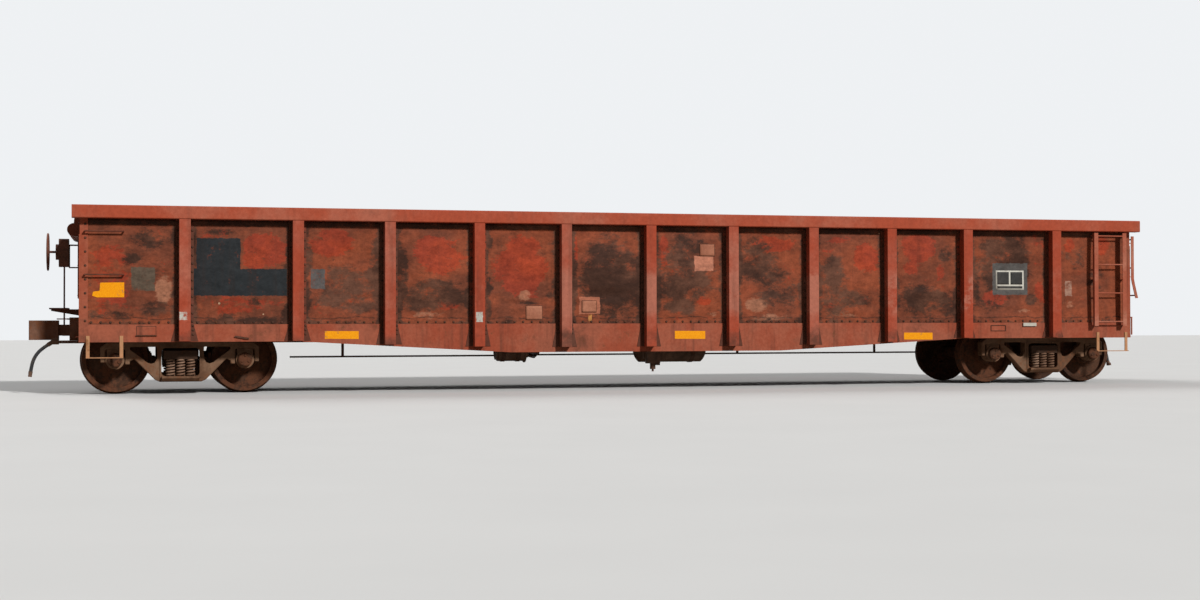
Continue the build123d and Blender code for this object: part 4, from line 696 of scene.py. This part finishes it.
def two_sided(name, outside, inside):
    """Outside paint where a face looks away from the wagon's middle along X, inside rust elsewhere."""
    made, tree, surface = new_material(name)
    place = axes_of(object_place(tree))["X"]
    turned = axes_of(put(tree, "NewGeometry").outputs["True Normal"])["X"]
    outward = sums("GREATER_THAN", times(place, turned), 0.0)
    outer = put(tree, "Group", node_tree=weathering)
    inner = put(tree, "Group", node_tree=weathering)
    connect(outer, outside)
    connect(inner, inside)
    colour = blend(outward, inner.outputs["Color"], outer.outputs["Color"])
    steel_surface(surface, colour, inner.outputs, 0.4)
    return made


ends_outside = {
    "Paint": (0.21, 0.055, 0.032, 1), "Faded": (0.27, 0.1, 0.06, 1), "Grime": (0.07, 0.038, 0.028, 1),
    "Grime Share": 0.35, "Streak Share": 0.8,
}
ends_inside = {
    "Paint": (0.145, 0.062, 0.036, 1), "Faded": (0.2, 0.095, 0.055, 1), "Rust": (0.115, 0.045, 0.024, 1),
    "Rust Share": 0.5, "Grime Share": 0.5,
}
dress(two_sided("end_sheet_paint", ends_outside, ends_inside), "end_sheets")

# Bolts
# The posts, foot plates, sills and corner posts are held by rows of domed bolts and rivets.
# Each is a low dome with its base on the plate; a row's spacing is that counted in the photograph.
bolt_radius = 0.0185
bolt_rise = 0.012
dome_sides = 8
# Each row is a ring of a dome: share of the radius, share of the rise
dome_rings = np.array([(1.0, -0.1), (0.96, 0.35), (0.66, 0.85)])


def ring_walls(numbers):
    """Quads between each ring of point numbers and the next."""
    after = np.roll(numbers, -1, axis=1)
    return np.stack([numbers[:-1], after[:-1], after[1:], numbers[1:]], axis=-1).reshape(-1, 4)


def repeated(faces, shifts):
    """The faces, as a list, once for each shift of their point numbers."""
    return (faces + shifts[:, None, None]).reshape(-1, faces.shape[1]).tolist()


def dome_field(name, centres, outward, radius, rise, material):
    """Domes: rings (cos a, sin a) * radius * share about each centre, rise * share along outward."""
    aside = np.cross(outward, (0, 0, 1.0))
    over = np.cross(outward, aside)
    turn = 2 * math.pi * np.arange(dome_sides) / dome_sides
    round_flat = (dome_rings[:, None, :1] * np.stack([np.cos(turn), np.sin(turn)], axis=-1)).reshape(-1, 2)
    flat = radius * np.append(round_flat, [[0, 0]], axis=0)
    lift = rise * np.append(np.repeat(dome_rings[:, 1], dome_sides), 1.0)
    points = centres[:, None] + flat[:, :1] * aside[:, None] + flat[:, 1:] * over[:, None]
    points = points + lift[:, None] * outward[:, None]
    numbers = np.arange(dome_rings[:, 0].size * dome_sides).reshape(-1, dome_sides)
    crown = np.stack([numbers[-1], np.roll(numbers[-1], -1), np.full(dome_sides, numbers.size)], axis=1)
    shifts = len(lift) * np.arange(len(centres))
    faces = repeated(ring_walls(numbers), shifts) + repeated(crown, shifts)
    faces += repeated(numbers[:1, ::-1], shifts)
    return make_piece(name, points, faces, [material])


def rows_of(xs, y, zs):
    """Every (x, y, z) with x from xs and z from zs, on both sides of the wagon."""
    return np.stack(np.meshgrid(xs, [-y, y], zs, indexing="ij"), axis=-1).reshape(-1, 3)


bolt_steel = weathered(
    "bolt_steel", (0.11, 0.045, 0.028), (0.18, 0.07, 0.04), (0.12, 0.045, 0.022), (0.04, 0.028, 0.022),
    (0.3, 0.4, 0.5, 0.2), 0.2,
)
seam_bolt_gap = 0.15
seam_places = np.arange(-7.98, 8.0, 0.129)
seam_places = seam_places[np.abs(seam_places[:, None] - post_places).min(axis=1) > seam_bolt_gap]
# Each row is a set of bolts: places along the wagon, distance from its middle, heights
wall_sets = [
    (np.append(post_places - 0.103, post_places + 0.103), 1.462, np.arange(1.02, 2.42, 0.115)),
    (np.append(post_places - 0.112, post_places + 0.112), 1.472, [0.84, 0.90, 0.96]),
    (seam_places, 1.455, [1.008]),
    ([-8.055, 8.055], 1.464, np.arange(1.03, 2.40, 0.19)),
]
wall_bolts = np.concatenate([rows_of(*row) for row in wall_sets])
end_bolts = rows_of([-8.138, 8.138], 1.375, np.arange(0.84, 2.40, 0.17))
outward = np.concatenate([np.sign(wall_bolts) * [0, 1, 0], np.sign(end_bolts) * [1, 0, 0]])
bolts = np.concatenate([wall_bolts, end_bolts])
wall_heads = dome_field("wall_bolts", bolts, outward, bolt_radius, bolt_rise, bolt_steel)
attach(wall_heads, "wagon")

# Small things on the near side
# Reflective strips, blank plates, a framed panel, a tag holder and a bent hook, all of thin sheet or bar.
# The plates on the bowed sheet follow it, and the rest is fixed to the face of the sill.
sill_face_y = 1.464
sill_seat_thickness = 0.001
reflector_thickness = 0.0015


def near_plate(name, outline, face_y, thickness, material):
    """A flat plate whose back is at y = -face_y, from an outline of (x, z) points."""
    corners = np.array(outline, float)
    count = len(corners)
    ahead = np.roll(corners, -1, axis=0)
    turned = np.sum(corners[:, 0] * ahead[:, 1] - corners[:, 1] * ahead[:, 0]) > 0
    order = np.arange(count) if turned else np.arange(count)[::-1]
    after = np.roll(order, -1)
    depth = np.repeat([-face_y - thickness, -face_y], count)
    points = np.column_stack([np.tile(corners[:, 0], 2), depth, np.tile(corners[:, 1], 2)])
    faces = [order.tolist(), (order[::-1] + count).tolist()]
    faces += np.stack([order, order + count, after + count, after], axis=1).tolist()
    plate = make_piece(name, points, faces, [material], smooth=False)
    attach(plate, "wagon")


def sheet_plate(name, x, z, lift, thickness, material):
    """A thin plate over the spans x and z that follows the near sheet's bow, lift above it."""
    across, high = np.meshgrid(np.linspace(*x, 9), np.linspace(*z, 9), indexing="ij")
    y = -(sheet_inner_y + sheet_thickness + sheet_bow(across, high, -1) + lift)
    front = np.dstack([across, y - thickness, high])
    plate = closed_shell(name, front, np.dstack([across, y, high]), [material])
    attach(plate, "wagon")


def sill_bar(name, x, depth, z, material):
    """A bar over the spans x and z that stands out from the near sill's face by depth."""
    y = (-sill_face_y - depth, -sill_face_y)
    corners = np.stack(np.meshgrid(x, y, z, indexing="ij"), axis=-1)
    faces = [(0, 1, 3, 2), (4, 6, 7, 5), (0, 4, 5, 1), (2, 3, 7, 6), (0, 2, 6, 4), (1, 5, 7, 3)]
    bar = make_piece(name, corners, faces, [material], smooth=False)
    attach(bar, "wagon")


def reflector_sheet():
    """Amber reflective sheeting, a fine cell pattern under its gloss and dirt at its edges."""
    made, tree, surface = new_material("reflector_sheet")
    place = object_place(tree)
    cells = fed("TexVoronoi", {"Vector": place, "Scale": 60.0}, distance="CHEBYCHEV")
    cells = step(cells.outputs["Distance"], 0.0, 0.6)
    dirt = step(noise(place, 14.0, 6.0), 0.62, 0.74)
    colour = blend(cells, (0.95, 0.4, 0.004, 1), (0.85, 0.3, 0.003, 1))
    colour = blend(dirt, colour, (0.45, 0.19, 0.05, 1))
    connect(surface, {"Base Color": colour, "Roughness": 0.45, "Specular IOR Level": 0.12})
    return made


amber = reflector_sheet()
white_paint = weathered(
    "white_paint", (0.62, 0.6, 0.52), (0.5, 0.47, 0.4), (0.3, 0.16, 0.09), (0.16, 0.11, 0.08),
    (0.4, 0.1, 0.15, 0.4), 0.1,
)
black_paint = weathered(
    "black_paint", (0.03, 0.032, 0.032), (0.065, 0.06, 0.055), (0.1, 0.05, 0.03), (0.045, 0.035, 0.03),
    (0.5, 0.1, 0.2, 0.3), 0.1,
)
plate_paint = weathered(
    "plate_paint", (0.31, 0.112, 0.063), (0.44, 0.182, 0.108), (0.15, 0.055, 0.03), (0.075, 0.042, 0.03),
    (0.5, 0.2, 0.2, 0.3), 0.2,
)
ladder_reflector = [
    (-7.962, 1.375), (-7.9, 1.352), (-7.54, 1.355), (-7.54, 1.56), (-7.858, 1.556), (-7.865, 1.445),
    (-7.952, 1.43),
]
# Each row is a reflector: outline (x, z), the face that it lies on
reflectors = [
    (ladder_reflector, 1.4605),
    ([(-4.8, 0.772), (-4.32, 0.767), (-4.32, 0.879), (-4.8, 0.882)], sill_face_y),
    ([(0.406, 0.75), (0.886, 0.746), (0.886, 0.866), (0.406, 0.869)], sill_face_y),
    ([(4.147, 0.723), (4.632, 0.719), (4.632, 0.828), (4.147, 0.83)], sill_face_y),
]
for number, (outline, face_y) in enumerate(reflectors, 1):
    near_plate(f"reflector_{number}", outline, face_y, reflector_thickness, amber)
# Each row is a plate on the near sheet: name, spans of x and z, lift, thickness, paint
sheet_plates = [
    ("frame_seat_1", (-1.036, -0.806), (1.143, 1.322), 0.0003, 0.0015, bolt_steel),
    ("framed_plate_1", (-1.028, -0.814), (1.151, 1.314), 0.0018, 0.003, plate_paint),
    ("frame_seat_2", (0.796, 1.04), (1.988, 2.177), 0.0003, 0.0015, bolt_steel),
    ("framed_plate_2", (0.804, 1.032), (1.996, 2.169), 0.0018, 0.003, plate_paint),
    ("frame_seat_3", (-1.881, -1.629), (1.034, 1.245), 0.0003, 0.0015, bolt_steel),
    ("framed_plate_3", (-1.875, -1.635), (1.04, 1.239), 0.0018, 0.003, plate_paint),
    ("stencil_frame", (5.749, 6.24), (1.5, 1.808), 0.0004, 0.0005, white_paint),
    ("stencil_pane_1", (5.775, 5.98), (1.586, 1.784), 0.0011, 0.0005, black_paint),
    ("stencil_pane_2", (6.008, 6.214), (1.586, 1.784), 0.0011, 0.0005, black_paint),
    ("stencil_pane_3", (5.775, 6.214), (1.524, 1.56), 0.0011, 0.0005, black_paint),
]
for row in sheet_plates:
    sheet_plate(*row)
seat_outline = [(-7.378, 0.827), (-7.112, 0.827), (-7.112, 0.958), (-7.378, 0.958)]
plate_outline = [(-7.37, 0.835), (-7.12, 0.835), (-7.12, 0.95), (-7.37, 0.95)]
hook_outline = [(-6.06, 0.803), (-6.04, 0.822), (-5.86, 0.792), (-5.855, 0.77), (-5.9, 0.772)]
near_plate("sill_plate_seat", seat_outline, sill_face_y, sill_seat_thickness, bolt_steel)
near_plate("sill_plate", plate_outline, sill_face_y + sill_seat_thickness, 0.004, sill_paint)
sill_bar("sill_plate_ledge", (-7.385, -7.105), 0.02, (0.82, 0.832), bolt_steel)
near_plate("bent_hook", hook_outline, sill_face_y, 0.022, bolt_steel)
# Each row is a bar on the sill: name, span of x, how far it stands out, span of z, paint
sill_bars = [
    ("tag_holder", (6.2, 6.43), 0.026, (0.926, 0.978), white_paint),
    ("holder_rail_1", (5.64, 5.9), 0.01, (0.85, 0.858), bolt_steel),
    ("holder_rail_2", (5.64, 5.9), 0.01, (0.935, 0.943), bolt_steel),
    ("holder_side_1", (5.64, 5.648), 0.01, (0.858, 0.935), bolt_steel),
    ("holder_side_2", (5.892, 5.9), 0.01, (0.858, 0.935), bolt_steel),
]
for row in sill_bars:
    sill_bar(*row)

# Ladders, handholds and steps
# Bars bolted to the sides and ends for the train crew, painted a paler pinkish red that has chalked.
# The steps are the palest and the handholds the darkest of them.
safety_paint = weathered(
    "safety_paint", (0.37, 0.095, 0.052), (0.44, 0.17, 0.11), (0.2, 0.08, 0.04), (0.1, 0.045, 0.03),
    (0.6, 0.25, 0.1, 0.3), 0.25,
)
step_paint = weathered(
    "step_paint", (0.38, 0.15, 0.055), (0.48, 0.24, 0.12), (0.24, 0.095, 0.04), (0.1, 0.045, 0.03),
    (0.7, 0.3, 0.1, 0.3), 0.25,
)
grip_paint = weathered(
    "grip_paint", (0.13, 0.04, 0.025), (0.2, 0.075, 0.045), (0.1, 0.04, 0.024), (0.04, 0.025, 0.018),
    (0.4, 0.3, 0.3, 0.2), 0.25,
)
dress(safety_paint, "side_ladders", "end_ladders", "uncoupling_levers")
dress(step_paint, "sill_steps")
dress(grip_paint, "handholds")

# Hand brake
# A wheel on a geared housing, bolted to its bracket on the end, with a rod down to the underframe.
# Its paint is a dull brown red, rusty where hands have worn it.
brake_paint = weathered(
    "brake_paint", (0.17, 0.062, 0.04), (0.28, 0.12, 0.08), (0.15, 0.06, 0.03), (0.045, 0.032, 0.026),
    (0.5, 0.3, 0.4, 0.3), 0.3,
)
dress(brake_paint, "brake_bracket", "brake_housing", "brake_wheel", "brake_rod", "brake_step")

# Underframe and air brake
# The centre sill, bearers and stringers under the floor, and the brake gear that hangs from them.
# Brake dust and mud have made them all a dark brown, a little paler in broad patches.
under_steel = weathered(
    "under_steel", (0.085, 0.042, 0.028), (0.14, 0.075, 0.05), (0.12, 0.05, 0.027), (0.03, 0.022, 0.018),
    (0.6, 0.4, 0.4, 0.2), 0.5,
)
dress(under_steel, "centre_sill", "body_bolsters", "centre_plates", "floor_stringers", "crossbearers")
dress(under_steel, "draft_gears", "brake_hangers", "brake_levers")
air_steel = weathered(
    "air_steel", (0.11, 0.055, 0.038), (0.19, 0.11, 0.075), (0.13, 0.055, 0.03), (0.035, 0.026, 0.02),
    (0.7, 0.3, 0.35, 0.3), 0.35,
)
dress(air_steel, "air_reservoir", "brake_cylinder", "control_valve", "train_pipe")
dress(air_steel, "glad_hand_a", "glad_hand_b")
dress(rubber, "air_hose_a", "air_hose_b")
pipe_bend = 0.045


def unit_rows(rows):
    """Each row divided by its length."""
    return rows / np.linalg.norm(rows, axis=1, keepdims=True)


def tube(line, aside, radius, around):
    """Points, wall quads and end faces of a closed tube of rings radius * (cos b * aside + sin b * over)
    at the points of a line, where over is the line's own direction x aside."""
    over = np.cross(unit_rows(np.gradient(line, axis=0)), aside)
    b = 2 * math.pi * np.arange(around)[:, None] / around
    points = line[:, None] + radius * (np.cos(b) * aside[:, None] + np.sin(b) * over[:, None])
    numbers = np.arange(len(line) * around).reshape(-1, around)
    return points.reshape(-1, 3), ring_walls(numbers), np.stack([numbers[0, ::-1], numbers[-1]])


def bent_pipe(name, corners, radius):
    """A closed round tube along corners. At each inner corner P the line follows the curve
    (1-t)^2 (P+a) + 2t(1-t) P + t^2 (P+b), where a and b reach pipe_bend along the two straights."""
    corners = np.asarray(corners, float)
    bend = pipe_bend * unit_rows(np.diff(corners, axis=0))[:, None]
    t = np.linspace(0, 1, 6)[:, None]
    middle = corners[1:-1, None]
    arcs = (1 - t) ** 2 * (middle - bend[:-1]) + 2 * t * (1 - t) * middle + t ** 2 * (middle + bend[1:])
    line = np.concatenate([corners[:1], arcs.reshape(-1, 3), corners[-1:]])
    aside = unit_rows(np.cross(unit_rows(np.gradient(line, axis=0)), (0.37, 0.53, 0.76)))
    points, walls, caps = tube(line, aside, radius, 12)
    pipe = make_piece(name, points, walls.tolist() + caps.tolist(), [air_steel])
    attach(pipe, "wagon")


cylinder_route = [
    (0.1, -1.0, 0.66), (-0.1, -1.0, 0.66), (-0.1, -0.76, 0.66), (-2.26, -0.76, 0.66),
    (-2.26, -0.5, 0.6), (-2.12, -0.5, 0.6),
]
branch_route = [(0.36, -1.0, 0.83), (0.36, -0.275, 0.83), (0.36, -0.275, 0.715), (0.36, 0.12, 0.715)]
# Each row is an air pipe from the control valve: name, corners, radius
air_pipes = [
    ("reservoir_pipe_1", [(0.16, -0.98, 0.584), (0.16, -0.8, 0.6), (0.16, -0.68, 0.584)], 0.013),
    ("reservoir_pipe_2", [(0.33, -0.98, 0.584), (0.33, -0.8, 0.6), (0.33, -0.68, 0.584)], 0.013),
    ("cylinder_pipe", cylinder_route, 0.015),
    ("branch_pipe", branch_route, 0.015),
]
for row in air_pipes:
    bent_pipe(*row)

# Trucks
# Cast side frames and bolsters under thick brown dust, the bolsters darker with painted shade.
# Their coil springs are real coils here, an outer and an inner one in each nest, and they take
# the place of the plain stacks of turns.
cast_steel = weathered(
    "cast_steel", (0.125, 0.062, 0.034), (0.21, 0.118, 0.07), (0.17, 0.07, 0.034), (0.045, 0.028, 0.02),
    (0.8, 0.35, 0.2, 0.35), 0.6, 1.5,
)
spring_steel = weathered(
    "spring_steel", (0.17, 0.092, 0.057), (0.27, 0.165, 0.11), (0.15, 0.062, 0.032), (0.045, 0.03, 0.022),
    (0.9, 0.3, 0.3, 0.0), 0.3,
)
shoe_iron = weathered(
    "shoe_iron", (0.075, 0.042, 0.032), (0.13, 0.075, 0.05), (0.16, 0.07, 0.035), (0.03, 0.022, 0.018),
    (0.5, 0.5, 0.4, 0.0), 0.6, 1.5,
)
# The bolsters are painted darker than the side frames, as painted shade under the body
bolster_steel_painted_shade = weathered(
    "bolster_steel_painted_shade", (0.055, 0.029, 0.018), (0.09, 0.05, 0.032), (0.1, 0.04, 0.02), (0.022, 0.014, 0.01),
    (0.5, 0.35, 0.4, 0.2), 0.6, 1.5,
)
dress(cast_steel, "side_frames_a", "side_frames_b", "bearing_adapters_a", "bearing_adapters_b")
dress(bolster_steel_painted_shade, "truck_bolster_a", "truck_bolster_b")
dress(shoe_iron, "brake_beams_a", "brake_beams_b")
truck_centre_x = 6.775
journal_y = 1.003
spring_low_z = 0.2544
spring_high_z = 0.4934
spring_pitch_x = 0.138
spring_half_y = 0.072
# Each row is a coil of a nest: its radius, the wire's radius, turns, points along, sides round
coils = [
    (0.0515, 0.0125, 6.2, 112, 8),
    (0.028, 0.008, 8.5, 120, 6),
]


def helix_tube(radius, wire, turns, steps, around):
    """A closed round tube of radius wire along (R cos a, R sin a, h(a)), a from 0 to 2 pi turns.
    h holds at each end for about half a turn, as ground and closed coils do, and rises evenly between."""
    a = np.linspace(0, 2 * math.pi * turns, steps)
    share = np.clip((a / (2 * math.pi) - 0.45) / (turns - 0.9), 0, 1)
    height = spring_low_z + wire + (spring_high_z - spring_low_z - 2 * wire) * share
    outward = np.stack([np.cos(a), np.sin(a), np.zeros_like(a)], axis=-1)
    return tube(radius * outward + height[:, None] * [0, 0, 1], outward, wire, around)


for end, side in (("b", -1), ("a", 1)):
    feet = np.array([
        (side * truck_centre_x + spring_pitch_x * k, way * (journal_y + spring_half_y * row), 0)
        for k in (-1, 0, 1)
        for row in (-1, 1)
        for way in (-1, 1)
    ])
    points, faces, count = [], [], 0
    for coil in coils:
        coil_points, walls, caps = helix_tube(*coil)
        shifts = count + len(coil_points) * np.arange(len(feet))
        points.append((feet[:, None] + coil_points).reshape(-1, 3))
        faces += repeated(walls, shifts) + repeated(caps, shifts)
        count += len(points[-1])
    springs = make_piece(f"coil_springs_{end}", np.concatenate(points), faces, [spring_steel])
    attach(springs, f"truck_{end}")
    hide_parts(f"springs_{end}")

# Wheelsets
# Forged wheels on round axles, dark rust brown all over under grease and brake dust.
# Three screws hold the cap on each end of an axle.
wheel_rust = weathered(
    "wheel_rust", (0.036, 0.018, 0.012), (0.105, 0.049, 0.028), (0.13, 0.05, 0.026), (0.012, 0.009, 0.007),
    (0.7, 0.5, 0.42, 0.2), 0.5,
)
cap_face_y = 1.165
axle_height = 0.4826
screw_circle = 0.056
screw_radius = 0.019
screw_rise = 0.014
screw_turns = np.radians([90, 210, 330])
# Each row is a wheelset: node, its axle's place along the wagon
axles = [("wheelset_a1", 5.886), ("wheelset_a2", 7.664), ("wheelset_b1", -7.664), ("wheelset_b2", -5.886)]
for node, axle_x in axles:
    dress(wheel_rust, node)
    x = np.tile(axle_x + screw_circle * np.cos(screw_turns), 2)
    z = np.tile(axle_height + screw_circle * np.sin(screw_turns), 2)
    screws = np.stack([x, np.repeat([-cap_face_y, cap_face_y], len(screw_turns)), z], axis=-1)
    outward = np.sign(screws) * [0, 1, 0]
    heads = dome_field(f"cap_screws_{node[-2:]}", screws, outward, screw_radius, screw_rise, wheel_rust)
    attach(heads, node)

# Couplers
# Cast heads and knuckles, rusted a dark orange-brown, with the strikers they ride in.
# They are left unpainted, so that a crack would show.
coupler_rust = weathered(
    "coupler_rust", (0.13, 0.055, 0.032), (0.22, 0.11, 0.07), (0.16, 0.06, 0.028), (0.04, 0.028, 0.02),
    (0.7, 0.5, 0.4, 0.1), 0.6, 1.5,
)
dress(coupler_rust, "coupler_a", "coupler_b", "knuckle_a", "knuckle_b", "strikers")
